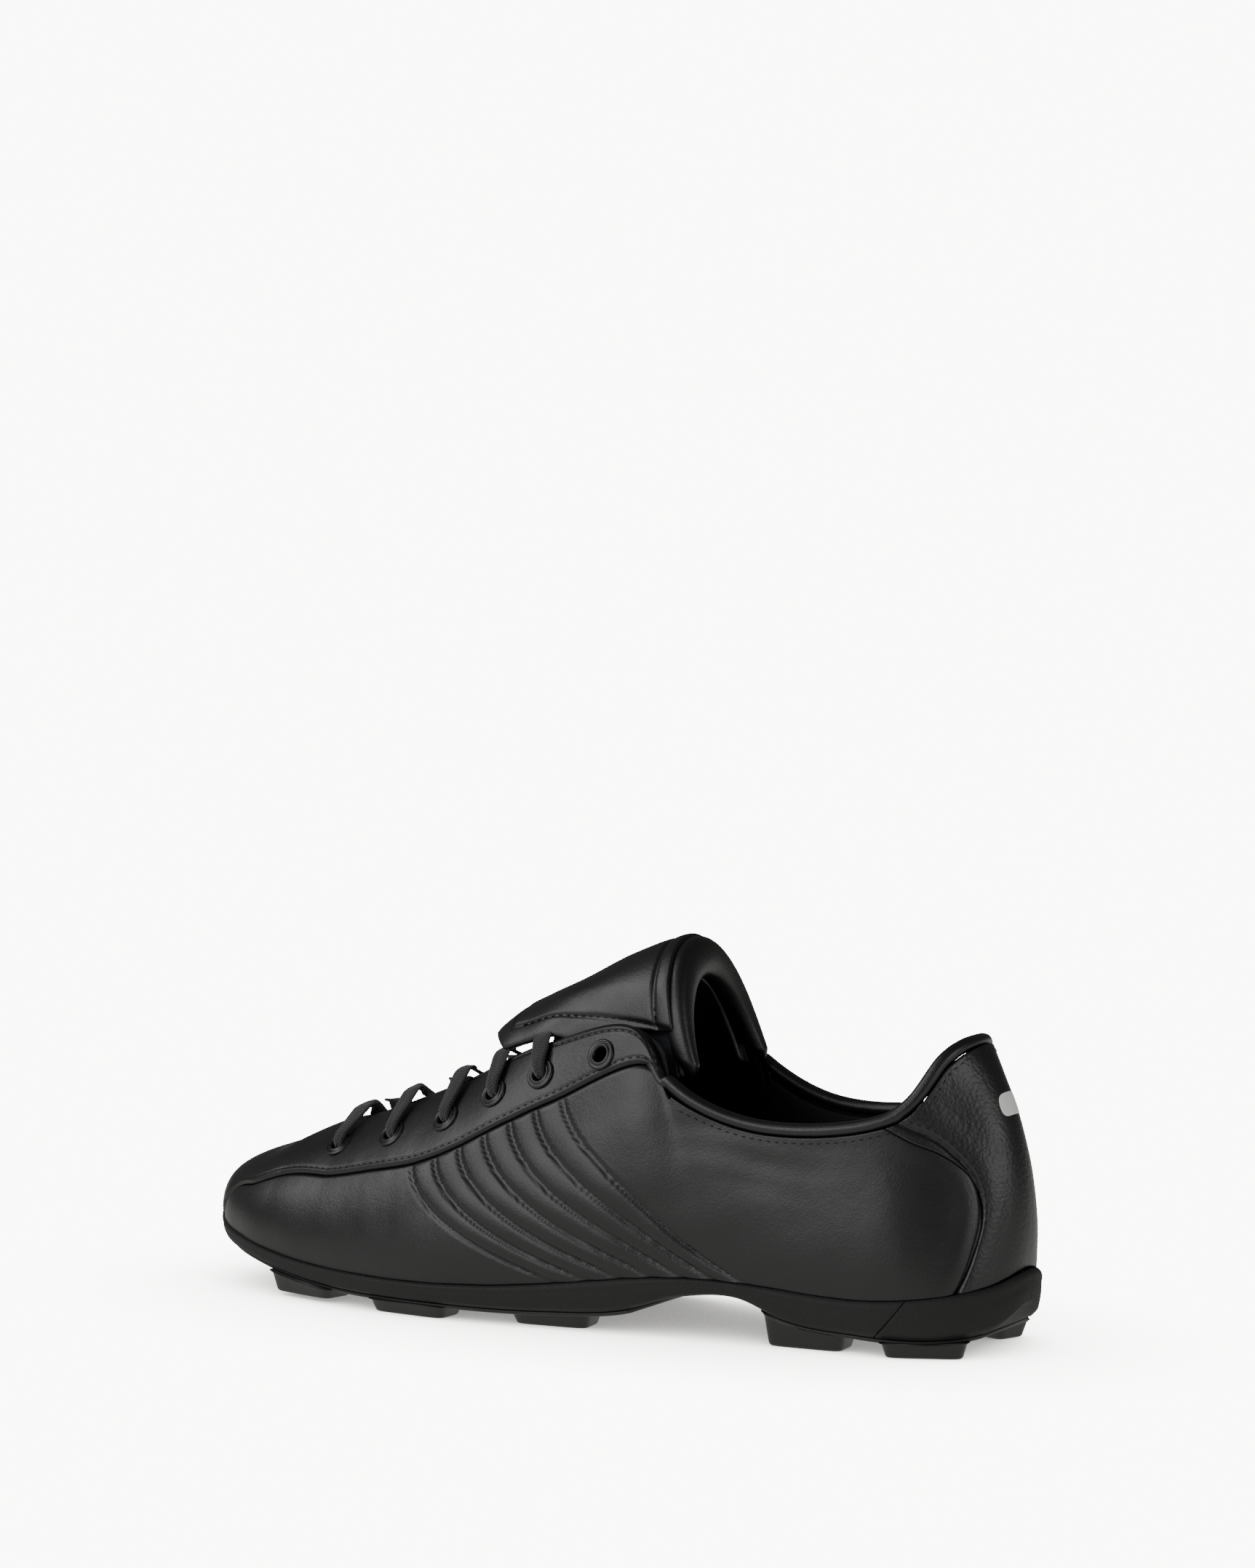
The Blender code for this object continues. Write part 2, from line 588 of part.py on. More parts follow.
def build_sole(mats):
    front = np.concatenate([np.linspace(0, .12, 7), np.linspace(.16, SOLE_SPLIT, 22)])
    back = np.concatenate([np.linspace(SOLE_SPLIT, .92, 6), np.linspace(.94, 1, 5)])
    sole_wall("sole_unit", front, SOLE_SPLIT, mats["rubber"])
    sole_wall("heel_cup", back + .002 * (1 - back) / (1 - SOLE_SPLIT), SOLE_SPLIT + .002, mats["rubber"])
    under_ball = front[(front > .12) & (front < .56)]
    studded_plate("forefoot_outsole", under_ball, FOREFOOT_STUDS, mats["stud"])
    studded_plate("heel_outsole", np.linspace(.672, .905, 11), HEEL_STUDS, mats["stud"])

    inside = UPPER_INSET[1][1] + WALL + 1.0
    full = np.concatenate([np.linspace(.06, .14, 4), np.linspace(.18, .86, 19), np.linspace(.88, .965, 4)])
    base = TOUCH_GAP
    board_low = base + FILLER + TOUCH_GAP
    liner_low = board_low + BOARD + TOUCH_GAP
    slab("forefoot_filler", np.linspace(.14, .47, 11), inside, lambda a: feather_z(a) + base,
         lambda a: feather_z(a) + base + FILLER, mats["board"])
    slab("insole_board", full, inside + .3, lambda a: feather_z(a) + board_low,
         lambda a: feather_z(a) + board_low + BOARD, mats["board"])
    slab("sockliner", full, inside + .8, lambda a: feather_z(a) + liner_low,
         lambda a: feather_z(a) + liner_low + SOCKLINER, mats["foam"])

    # shank: a ribbed strip along the middle of the waist
    s = np.linspace(.49, .78, 13)
    middle = (outline(s) + outline(2 - s)) / 2
    side = np.array([0, 1.0, 0]) * SHANK_WIDTH / 2
    low = middle + [0, 0, base]
    high = middle + [0, 0, base + FILLER]
    ring = np.stack([high - side, low - side, low + side, high + side], 1)
    last = 4 * (len(s) - 1)
    faces = grid_faces(len(s), 4, wrap=True) + [[3, 2, 1, 0], [last, last + 1, last + 2, last + 3]]
    add_object("shank", ring, faces, mats["board"])


# Tongue and flap

def arch(x, v, table, sweep):
    """A saddle: middle height, half width and drop follow X; v runs from -1 (lateral) to 1 (medial)."""
    at, height, half, drop = table
    bend = np.radians(np.interp(x, (at[0], at[-1]), (48, 80)))
    z = smooth(at, height, x) - smooth(at, drop, x) * (1 - np.cos(bend * v)) / (1 - np.cos(bend))
    y = smooth(at, half, x) * np.sin(bend * v) / np.sin(bend)
    share = np.clip((x + 12) / (at[-1] + 12), 0, 1)**2
    return np.stack([(x + sweep * share * v**2) * GRADE_X, y * GRADE_Y, z * FLAP_HEIGHT / 119.5], -1)


def arch_at(table):
    def surface(x, v, depth):
        e = 1e-3
        point = lambda p, q: arch(p, q, table, FOLD_SWEEP)
        normal = unit(np.cross(point(x + e, v) - point(x - e, v), point(x, v + e) - point(x, v - e)))
        return point(x, v) - normal * depth
    return surface


def build_tongue(mats):
    tongue = (TONGUE_X, TONGUE_Z, TONGUE_HALF, TONGUE_DROP)
    flap = (FLAP_X, FLAP_Z, FLAP_HALF, FLAP_DROP)
    across = np.linspace(-1, 1, 9)
    grid = patch(lambda u, v: u, lambda a, u, v: v, np.linspace(TONGUE_X[0], TONGUE_X[-1], 14), across)
    depth = 0.0
    for name, thick, mat in (("tongue_textile_face", TEXTILE, "navy"), ("tongue_padding", TONGUE_PADDING, "foam"),
                             ("tongue_leather", TONGUE_LEATHER, "leather")):
        sheet(name, arch_at(tongue), [grid], depth, depth + thick, mats[mat])
        depth += thick + LAYER_GAP
    # the margins draw in at the front's corners, and at the fold to pass inside the collar as the flap lifts
    reach = ((FLAP_X[0], FLAP_X[0] + 8, 15, FLAP_X[-1]), (.8, 1, 1, .92))
    grid = patch(lambda u, v: u, lambda a, u, v: v * np.interp(u, *reach),
                 np.linspace(FLAP_X[0], FLAP_X[-1], 9), across)
    hinge = bpy.data.objects.new("flap_hinge", None)
    bpy.context.collection.objects.link(hinge)
    hinge.location = (np.array(hinge_point()) - ORIGIN) * MM
    depth = 0.0
    for name, thick, mat in (("flap_leather", LEATHER - .2, "leather"), ("flap_textile", TEXTILE, "navy")):
        obj = sheet(name, arch_at(flap), [grid], depth, depth + thick, mats[mat])
        obj.parent = hinge
        obj.matrix_parent_inverse = Matrix.Translation(-hinge.location)
        depth += thick + LAYER_GAP

    # padded roll along the fold, between the flap's back edge and the tongue's
    v = np.linspace(-1, 1, 25)
    edge = arch_at(flap)(np.full_like(v, FLAP_X[-1]), v, FOLD_RADIUS)
    forward = arch_at(flap)(np.full_like(v, FLAP_X[-1] - 1), v, FOLD_RADIUS)
    back = unit(edge - forward)
    path = edge + back * (FOLD_RADIUS + TOUCH_GAP)
    tangent = unit(np.gradient(path, axis=0))
    sweep("tongue_fold", path, back, np.cross(tangent, back), ellipse(FOLD_RADIUS, FOLD_RADIUS, 10),
          mats["leather"])


def hinge_point():
    flap = (FLAP_X, FLAP_Z, FLAP_HALF, FLAP_DROP)
    return arch(FLAP_X[-1], 0.0, flap, FOLD_SWEEP) - [0, 0, (LEATHER + TEXTILE) / 2]


# Lace

def lace_route():
    """Where the lace runs: up each side's eyelets in turn, crossing the throat between pairs."""
    half = LACE_THICKNESS / 2
    tongue = (TONGUE_X, TONGUE_Z, TONGUE_HALF, TONGUE_DROP)

    def through(pair, side):
        centre, out, up = eyelet_frame(pair, side)
        edge = top_edge(EYELET_STATION[pair] if side < 0 else 2 - EYELET_STATION[pair])
        reach = np.linalg.norm(edge - centre)
        deep = WALL + half + 2.3
        inside = [centre + up * (reach + 3) - out * deep, centre + up * 4.4 - out * deep,
                  centre - out * (deep - .2)]
        outside = [centre + out * 1.5, centre + up * 3.6 + out * (half + 1.9),
                   centre + up * (reach + .5) + out * (half + .8)]
        return inside, outside

    def middle(pair, lift):
        x = (top_edge(EYELET_STATION[pair])[0] + top_edge(EYELET_STATION[pair + 1])[0]) / 2 / GRADE_X
        return arch(x, 0.0, tongue, FOLD_SWEEP) + [0, 0, half + .6 + lift]

    def strand(start_side):
        points, side = [], start_side
        for pair in range(LACED_PAIRS):
            inside, outside = through(pair, side)
            points += inside + outside
            if pair < LACED_PAIRS - 1:
                points.append(middle(pair, 0.0 if side < 0 else LACE_THICKNESS + .5))
            side = -side
        return points, -side

    first, end_a = strand(-1)
    second, end_b = strand(1)
    return first, end_a, second, end_b


def tail(side, lift):
    """A lace end that turns in under the flap and lies forward along the tongue."""
    flap = (FLAP_X, FLAP_Z, FLAP_HALF, FLAP_DROP)
    under = LEATHER + TEXTILE + LACE_THICKNESS / 2 + 1.0
    spots = ((-8, .96, .9), (-7, .82, .5), (2, .40, lift), (-2, .12, lift), (-12, .16, lift), (-20, .22, lift))
    return [arch_at(flap)(np.array(float(x)), np.array(side * v), under + deep) for x, v, deep in spots]


def build_lace(mats):
    first, end_a, second, end_b = lace_route()
    points = (first[::-1] + second)
    points = tail(end_a, 0.0)[::-1] + points + tail(end_b, LACE_THICKNESS + .6)
    points = np.array(points)
    curve = bpy.data.curves.new("lace", "CURVE")
    curve.dimensions = "3D"
    curve.bevel_depth = LACE_THICKNESS / 2 * MM
    curve.bevel_resolution = 2
    curve.use_fill_caps = True
    spline = curve.splines.new("POLY")
    spline.points.add(len(points) - 1)
    for point, place in zip(spline.points, (points - ORIGIN) * MM):
        point.co = (*place, 1)
    obj = bpy.data.objects.new("lace", curve)
    curve.materials.append(mats["lace"])
    bpy.context.collection.objects.link(obj)
    for k, (end, before) in enumerate(((points[0], points[1]), (points[-1], points[-2]))):
        aim = unit(end - before)
        start = end + aim * TOUCH_GAP
        path = np.stack([start, start + aim * AGLET_LENGTH])
        side = unit(np.cross(aim, [0, 0, 1.0]))
        lift = np.cross(side, aim)
        sweep(f"aglet_{k + 1}", path, np.stack([side] * 2), np.stack([lift] * 2), ellipse(1.2, 1.2, 8), mats["aglet"])


def centre_of_plan():
    """Middle of the boot's widest and longest reach, so that the origin lies under it."""
    a, h = np.meshgrid(np.linspace(0, 2, 401), np.linspace(0, 1, 21))
    reach = np.concatenate([outline(a[0]), upper(a, h).reshape(-1, 3)])
    low, high = reach.min(0), reach.max(0)
    return np.array([(low[0] + high[0]) / 2, (low[1] + high[1]) / 2, 0.0])


def main():
    for obj in list(bpy.data.objects):
        bpy.data.objects.remove(obj, do_unlink=True)
    mats = {
        "leather": material("calf leather", (.012, .012, .012), .42),
        "pebble": material("pebbled leather", (.012, .012, .012), .38),
        "lining": material("lining textile", (.008, .008, .009), .9),
        "board": material("fibre board", (.05, .045, .04), .9),
        "foam": material("foam", (.03, .03, .03), .95),
        "rubber": material("grained rubber", (.016, .016, .015), .75),
        "stud": material("moulded stud rubber", (.014, .014, .014), .5),
        "enamel": material("painted brass", (.015, .015, .015), .35),
        "nickel": material("nickelled washer", (.55, .55, .56), .2, 1.0),
        "navy": material("navy textile", (.012, .015, .03), .9),
        "lace": material("woven polyester", (.01, .01, .01), .85),
        "aglet": material("aglet plastic", (.01, .01, .01), .3),
    }
    pierced = build_upper(mats)
    build_eyelets(mats, pierced)
    build_sole(mats)
    build_tongue(mats)
    build_lace(mats)


ORIGIN = centre_of_plan()
main()
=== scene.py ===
import math

import bpy
import numpy as np
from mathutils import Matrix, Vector


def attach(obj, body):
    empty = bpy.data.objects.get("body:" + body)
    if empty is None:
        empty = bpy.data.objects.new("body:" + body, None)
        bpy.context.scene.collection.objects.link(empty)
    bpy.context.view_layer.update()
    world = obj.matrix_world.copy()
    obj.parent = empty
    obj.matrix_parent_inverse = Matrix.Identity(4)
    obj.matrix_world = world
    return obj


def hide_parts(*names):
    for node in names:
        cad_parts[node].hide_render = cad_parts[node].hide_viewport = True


# Looks of a black leather football boot with a fold-over tongue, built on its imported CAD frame.
# X runs from toe (-X) to heel (+X), the lateral side is at -Y, Z is up. Working units are millimetres.

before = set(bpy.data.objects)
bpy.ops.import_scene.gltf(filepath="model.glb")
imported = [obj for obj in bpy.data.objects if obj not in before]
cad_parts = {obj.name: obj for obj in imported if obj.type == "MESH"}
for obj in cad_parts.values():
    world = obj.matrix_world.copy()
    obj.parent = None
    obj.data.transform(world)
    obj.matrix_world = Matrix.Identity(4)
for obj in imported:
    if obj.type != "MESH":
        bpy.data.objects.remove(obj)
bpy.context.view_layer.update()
mm = 0.001
print("frame loaded")

# ---- shape of the last, shared by every piece of the upper

last = {
    "length": 289.0,
    "ballWidth": 95.0,
    "upperHeight": 95.6,
    "shiftY": 0.306,          # the middle of the widest reach lies this far from the tables' middle
    "leather": 1.5,
    "wall": 4.4,              # leather, interlining and lining together
    "bindingRadius": 2.0,
    "halfLateral": (.652, .663, .605, .553, .526, .463, .426, .458, .563, .647, .695),
    "halfMedial": (.652, .653, .632, .605, .521, .400, .358, .421, .558, .653, .695),
    "featherAt": (0, .15, .3, .45, .6, .75, .9, 1),
    "featherZ": (25.4, 18.6, 12.2, 12.3, 19.5, 17.0, 21.4, 25.6),
    "leanFoot": (4, 7, 14, 13, 9, 8, 0, 12),
    "leanTop": (88, 91, 72, 55, 28, 8, 7, 32),
    "wallPull": (1.15, 1.2, 1.05, 1, 1, 1, 1, 1),
    "soleAt": (0, .1, .2, .3, .4, .5, .55, .6, .64, .68, .75, .85, .92, 1),
    "soleZ": (18.0, 15.0, 11.0, 6.2, 5.2, 5.6, 7.4, 13.5, 14.4, 8.8, 6.2, 6.0, 8.2, 14.0),
    "upperInset": ((0, .25, .8, 1), (0.1, 1.2, 1.2, 2.4)),
    "topEdge": ((.00, -.398, .000, .000, .484), (.12, -.376, .000, .000, .504), (.22, -.342, .000, .000, .559),
                (.30, -.294, .114, .114, .594), (.40, -.162, .175, .175, .743), (.50, -.036, .250, .245, .909),
                (.575, .084, .318, .308, .984), (.62, .124, .362, .326, .858), (.70, .221, .348, .303, .725),
                (.80, .369, .284, .252, .757), (.90, .423, .158, .150, .952), (1.0, .436, .000, .000, 1.00)),
    "throatStart": .22,
    "ridgeSlope": .42,
    "eyestayEnd": .605,
    "eyestaySeam": ((.10, .12, .18, .257, .335, .385, .465, .529, .595, .61),
                    (.00, .20, .36, .494, .550, .556, .669, .763, .881, .905)),
    "heelSeam": ((0, .16, .30, .38, .48, .60, .72, .86, 1),
                 (.862, .889, .909, .912, .906, .885, .861, .830, .803)),
}


def smooth(at, values, x, level=False):
    # piecewise cubic through the values; level ends have no slope
    at, values, x = (np.asarray(q, float) for q in (at, values, x))
    step = np.diff(at)
    rise = np.diff(values) / step
    slope = np.empty_like(values)
    slope[1:-1] = (rise[:-1] * step[1:] + rise[1:] * step[:-1]) / (step[1:] + step[:-1])
    slope[0], slope[-1] = (0, 0) if level else (rise[0], rise[-1])
    i = np.clip(np.searchsorted(at, x, side="right") - 1, 0, len(at) - 2)
    w = step[i]
    t = (x - at[i]) / w
    return ((2 * t**3 - 3 * t**2 + 1) * values[i] + (t**3 - 2 * t**2 + t) * w * slope[i]
            + (3 * t**2 - 2 * t**3) * values[i + 1] + (t**3 - t**2) * w * slope[i + 1])


def unit(v):
    return v / np.maximum(np.linalg.norm(v, axis=-1, keepdims=True), 1e-9)


def station(a):
    # 0 at the toe, 1 at the heel; a runs on from 1 to 2 along the medial side
    a = np.mod(a, 2.0)
    return np.where(a <= 1, a, 2 - a)


def outlineXy(a):
    s = station(a)
    even = np.linspace(0, 1, len(last["halfLateral"]))
    half = np.where(np.mod(a, 2.0) <= 1, smooth(even, last["halfLateral"], s, True),
                    smooth(even, last["halfMedial"], s, True))
    return -last["length"] / 2 * np.cos(np.pi * a), -half * last["ballWidth"] * np.sin(np.pi * a)


def featherZ(a):
    return smooth(last["featherAt"], last["featherZ"], station(a), True)


def soleZ(a):
    return smooth(last["soleAt"], last["soleZ"], station(a), True)


def outline(a, inset=0.0, z=None):
    a = np.asarray(a, float)
    e = 1e-4
    x, y = outlineXy(a)
    x0, y0 = outlineXy(a - e)
    x1, y1 = outlineXy(a + e)
    out = unit(np.stack([y1 - y0, x0 - x1], -1))
    z = featherZ(a) if z is None else z
    return np.stack([x - out[..., 0] * inset, y - out[..., 1] * inset, z + 0 * x], -1)


def footEdge(a):
    return outline(a, np.interp(station(a), *last["upperInset"]))


def topEdge(a):
    table = np.array(last["topEdge"])
    s = station(a)
    x, lateral, medial, z = (smooth(table[:, 0], table[:, k], s, k in (1, 4)) for k in (1, 2, 3, 4))
    y = np.where(np.mod(a, 2.0) <= 1, -np.maximum(lateral, 0), np.maximum(medial, 0))
    return np.stack([x * last["length"], y * last["ballWidth"], z * last["upperHeight"]], -1)


def upper(a, h):
    # cubic from the foot edge (h = 0) to the top edge (h = 1), with a lean at each end
    a, h = np.broadcast_arrays(np.asarray(a, float), np.asarray(h, float))
    s = station(a)
    foot, top = footEdge(a), topEdge(a)
    e = 1e-4
    along = footEdge(a + e) - footEdge(a - e)
    out = unit(np.stack([along[..., 1], -along[..., 0], 0 * s], -1))
    inward = top - foot
    inward[..., 2] = 0
    inward = unit(inward)
    pull = smooth(last["featherAt"], last["wallPull"], s, True)[..., None]
    chord = np.linalg.norm(top - foot, axis=-1, keepdims=True) * pull
    low = np.radians(smooth(last["featherAt"], last["leanFoot"], s, True))[..., None]
    high = np.radians(smooth(last["featherAt"], last["leanTop"], s, True))[..., None]
    rise = np.array([0, 0, 1.0])
    start = (np.cos(low) * rise + np.sin(low) * out) * chord
    onRidge = np.clip((last["throatStart"] + .07 - s) / .07, 0, 1)[..., None]
    ridge = unit(inward + inward[..., :1] * last["ridgeSlope"] * rise)
    end = (onRidge * ridge + (1 - onRidge) * (np.cos(high) * rise + np.sin(high) * inward)) * chord
    h = h[..., None]
    return ((2 * h**3 - 3 * h**2 + 1) * foot + (h**3 - 2 * h**2 + h) * start
            + (3 * h**2 - 2 * h**3) * top + (h**3 - h**2) * end)


def upperNormal(a, h):
    a, h = np.broadcast_arrays(np.asarray(a, float), np.asarray(h, float))
    e = 1e-3
    normal = np.cross(upper(a + e, h) - upper(a - e, h), upper(a, h + e) - upper(a, h - e))
    s = station(a)
    crest = topEdge(s + 2 * e) - topEdge(np.maximum(s - e, 0))
    crest = np.stack([-crest[..., 2], 0 * s, crest[..., 0]], -1)
    onRidge = ((h > .999) & (s <= last["throatStart"]))[..., None]
    normal = np.where(onRidge, crest, normal)
    normal[..., 1] = np.where(s < 1e-6, 0, normal[..., 1])
    return unit(normal)


def belowTop(a, distance):
    # the h that lies this far under the top edge, square to it
    a = np.asarray(a, float)
    e = 1e-3
    up = (upper(a, 1.0) - upper(a, 1.0 - e)) / e
    edge = unit(topEdge(a + e) - topEdge(a - e))
    return 1.0 - distance / np.linalg.norm(np.cross(up, edge), axis=-1)


def collarH(a, gap=.1):
    return np.where(station(a) < last["eyestayEnd"], 1.0, belowTop(a, 2 * last["bindingRadius"] - gap))


def seamH(s):
    low, high = last["eyestaySeam"][0][0], last["eyestaySeam"][0][-1]
    return np.where(s < low, 0.0, smooth(*last["eyestaySeam"], np.clip(s, low, high)))


def heelSeamS(h):
    return smooth(*last["heelSeam"], np.clip(h, 0, 1))


# ---- relief of the upper: seams, sewn channels and the leather's own softness

relief = {
    "topPieceLift": .35,      # the vamp and eyestay piece lies over the quarters
    "heelLift": .25,
    "seamDepth": 1.0,
    "seamWidth": .75,
    "channelCount": 7,        # sewn channels on the side, evenly spaced
    "channelTop": (.385, .513),
    "channelFoot": (.507, .649),
    "channelBend": 1.7,
    "channelDepth": .95,
    "channelWidth": .5,
    "channelPuff": .5,
    "softness": .11,
}


def ripple(p, seed, lengths, count=5):
    # soft waves: sines in seeded directions, for the unevenness of real leather
    rng = np.random.default_rng(seed)
    total = np.zeros(p.shape[:-1])
    for wave in lengths:
        for _ in range(count):
            direction = unit(rng.normal(size=3))
            total += np.sin(p @ direction * 2 * np.pi / wave + rng.uniform(0, 6.3))
    return total / (count * len(lengths)) ** .5


def metric(a, h):
    e = 1e-3
    la = np.linalg.norm(upper(a + e, h) - upper(a - e, h), axis=-1) / (2 * e)
    lh = np.linalg.norm(upper(a, h + e) - upper(a, h - e), axis=-1) / (2 * e)
    return np.maximum(la, 20), np.maximum(lh, 5)


def lineDistance(f, a, h, scale):
    # distance to the line f = 0 on the surface: |f| over its gradient
    e = 1e-3
    ga = (f(a + e, h) - f(a - e, h)) / (2 * e) / scale[0]
    gh = (f(a, h + e) - f(a, h - e)) / (2 * e) / scale[1]
    return f(a, h) / np.sqrt(ga**2 + gh**2 + 1e-12)


def channelS(k, h):
    # line of channel k: it leaves the eyestay seam steeply and flattens towards the sole
    share = k / (relief["channelCount"] - 1)
    top = relief["channelTop"][0] + share * np.diff(relief["channelTop"])[0]
    foot = relief["channelFoot"][0] + share * np.diff(relief["channelFoot"])[0]
    t = np.clip(1 - h / seamH(np.array(top)), 0, 1)
    return top + (foot - top) * t ** relief["channelBend"]


def bump(d, width):
    return np.exp(-(d / width) ** 2)


def upperLift(a, h):
    # how far the finished leather stands from the plain last surface, in mm
    a, h = np.broadcast_arrays(np.asarray(a, float), np.asarray(h, float))
    s = station(a)
    scale = metric(a, h)
    seam = lineDistance(lambda p, q: q - seamH(station(p)), a, h, scale)
    heel = lineDistance(lambda p, q: station(p) - heelSeamS(q), a, h, scale)
    top = (1 - h) * scale[1]
    onTop = (seam > 0) & (s < last["eyestayEnd"] + .004)
    lift = np.where(onTop, relief["topPieceLift"], 0.0) + np.where(heel > 0, relief["heelLift"], 0.0)
    near = np.where((s > last["eyestaySeam"][0][0] - .01) & (s < last["eyestayEnd"] + .02), 1.0, 0.0)
    lift -= near * relief["seamDepth"] * bump(seam, relief["seamWidth"])
    lift -= near * .22 * bump(seam - 2.1, .5)
    lift -= relief["seamDepth"] * bump(heel, relief["seamWidth"])
    lift += .25 * bump(heel - 4, 3) + .25 * bump(heel + 4, 3)
    throat = np.clip((s - last["throatStart"]) / .01, 0, 1) * np.where(s < last["eyestayEnd"] + .01, 1.0, 0.0)
    lift -= throat * (.8 * bump(top, .8) + .22 * bump(top - 2.4, .5))
    under = np.clip(-seam / 2.5, 0, 1)
    puff, cut = np.zeros_like(lift), np.zeros_like(lift)
    count = relief["channelCount"]
    lines = [lineDistance(lambda p, q, k=k: station(p) - channelS(k, q), a, h, scale)
             for k in range(count)]
    for d in lines:
        cut = np.maximum(cut, bump(d, relief["channelWidth"]))
    for low, high in zip(lines[:-1], lines[1:]):
        span = np.maximum(low - high, .5)
        t = np.clip(low / span, 0, 1)
        puff = np.maximum(puff, 4 * t * (1 - t) * np.minimum(span / 6, 1))
    foot = np.clip(h / .06, 0, 1)
    lift += under * (relief["channelPuff"] * puff - relief["channelDepth"] * cut * foot)
    place = upper(a, h)
    lift += relief["softness"] * ripple(place, 4, (17, 31, 47)) * np.clip(top / 6, 0, 1)
    # creases where the boot flexes and where the ankle bends
    flex = bump(place[..., 0] + 62, 22) * np.clip(1 - abs(h - .55) / .45, 0, 1)
    lift += .02 * flex * np.sin(place[..., 0] * .9 + 2.0 * np.sin(place[..., 2] * .16))
    ankle = bump(place[..., 0] - 62, 26) * np.clip((h - .45) / .3, 0, 1) * np.clip(top / 8, 0, 1)
    lift += .06 * ankle * np.sin(place[..., 2] * .75 + 1.6 * np.sin(place[..., 0] * .09))
    return lift


def finished(a, h, depth=0.0):
    a, h = np.broadcast_arrays(np.asarray(a, float), np.asarray(h, float))
    return upper(a, h) + upperNormal(a, h) * (upperLift(a, h) - depth)[..., None]


# ---- materials

def linear(code):
    # hex sRGB to linear light
    c = np.array([int(code[i:i + 2], 16) for i in (1, 3, 5)]) / 255
    return (*np.where(c <= .04045, c / 12.92, ((c + .055) / 1.055) ** 2.4), 1.0)


def addNode(tree, kind, settings=None, links=None):
    # settings go to properties or input sockets, links map input sockets to output sockets
    node = tree.nodes.new(kind)
    for key, value in (settings or {}).items():
        if isinstance(key, str) and hasattr(node, key):
            setattr(node, key, value)
        else:
            node.inputs[key].default_value = value
    for key, source in (links or {}).items():
        tree.links.new(source, node.inputs[key])
    return node


def newMaterial(name, color, roughness, **more):
    mat = bpy.data.materials.new(name)
    mat.use_nodes = True
    shader = mat.node_tree.nodes["Principled BSDF"]
    shader.inputs["Base Color"].default_value = linear(color)
    shader.inputs["Roughness"].default_value = roughness
    for key, value in more.items():
        shader.inputs[key.replace("_", " ")].default_value = value
    return mat, mat.node_tree, shader


def grainMaterial(name, color, roughness, cell, depth, wave, waveDepth, spread, **more):
    # leather or grained rubber: cells of this size in mm, over broader pores and waves
    mat, tree, shader = newMaterial(name, color, roughness, **more)
    coord = addNode(tree, "ShaderNodeTexCoord")
    warp = addNode(tree, "ShaderNodeTexNoise", {"Scale": 1 / (cell * 3 * mm), "Detail": 2.0},
                   {"Vector": coord.outputs["Object"]})
    mix = addNode(tree, "ShaderNodeMixRGB", {"blend_type": "LINEAR_LIGHT", "Fac": cell * .35 * mm},
                  {"Color1": coord.outputs["Object"], "Color2": warp.outputs["Color"]})
    cells = addNode(tree, "ShaderNodeTexVoronoi", {"feature": "SMOOTH_F1", "Scale": 1 / (cell * mm)},
                    {"Vector": mix.outputs["Color"]})
    broad = addNode(tree, "ShaderNodeTexNoise", {"Scale": 1 / (wave * mm), "Detail": 5.0, "Roughness": .6},
                    {"Vector": coord.outputs["Object"]})
    low = addNode(tree, "ShaderNodeBump", {"Distance": waveDepth * mm, "Strength": 1.0},
                  {"Height": broad.outputs["Fac"]})
    high = addNode(tree, "ShaderNodeBump", {"Distance": depth * mm, "Strength": 1.0, "invert": True},
                   {"Height": cells.outputs["Distance"], "Normal": low.outputs["Normal"]})
    tree.links.new(high.outputs["Normal"], shader.inputs["Normal"])
    rough = addNode(tree, "ShaderNodeMapRange", {"To Min": roughness - spread, "To Max": roughness + spread},
                    {"Value": broad.outputs["Fac"]})
    tree.links.new(rough.outputs["Result"], shader.inputs["Roughness"])
    return mat


def wovenMaterial(name, color, roughness, pitch, depth, **more):
    # two sets of threads crossing at this pitch in mm
    mat, tree, shader = newMaterial(name, color, roughness, **more)
    coord = addNode(tree, "ShaderNodeTexCoord")
    bands = []
    for direction in ("X", "Z"):
        bands.append(addNode(tree, "ShaderNodeTexWave", {"bands_direction": direction,
                                                         "Scale": .314 / (pitch * mm), "Distortion": .4},
                             {"Vector": coord.outputs["Object"]}))
    both = addNode(tree, "ShaderNodeMath", {"operation": "MULTIPLY"},
                   {0: bands[0].outputs["Fac"], 1: bands[1].outputs["Fac"]})
    relief = addNode(tree, "ShaderNodeBump", {"Distance": depth * mm, "Strength": 1.0},
                     {"Height": both.outputs["Value"]})
    tree.links.new(relief.outputs["Normal"], shader.inputs["Normal"])
    return mat


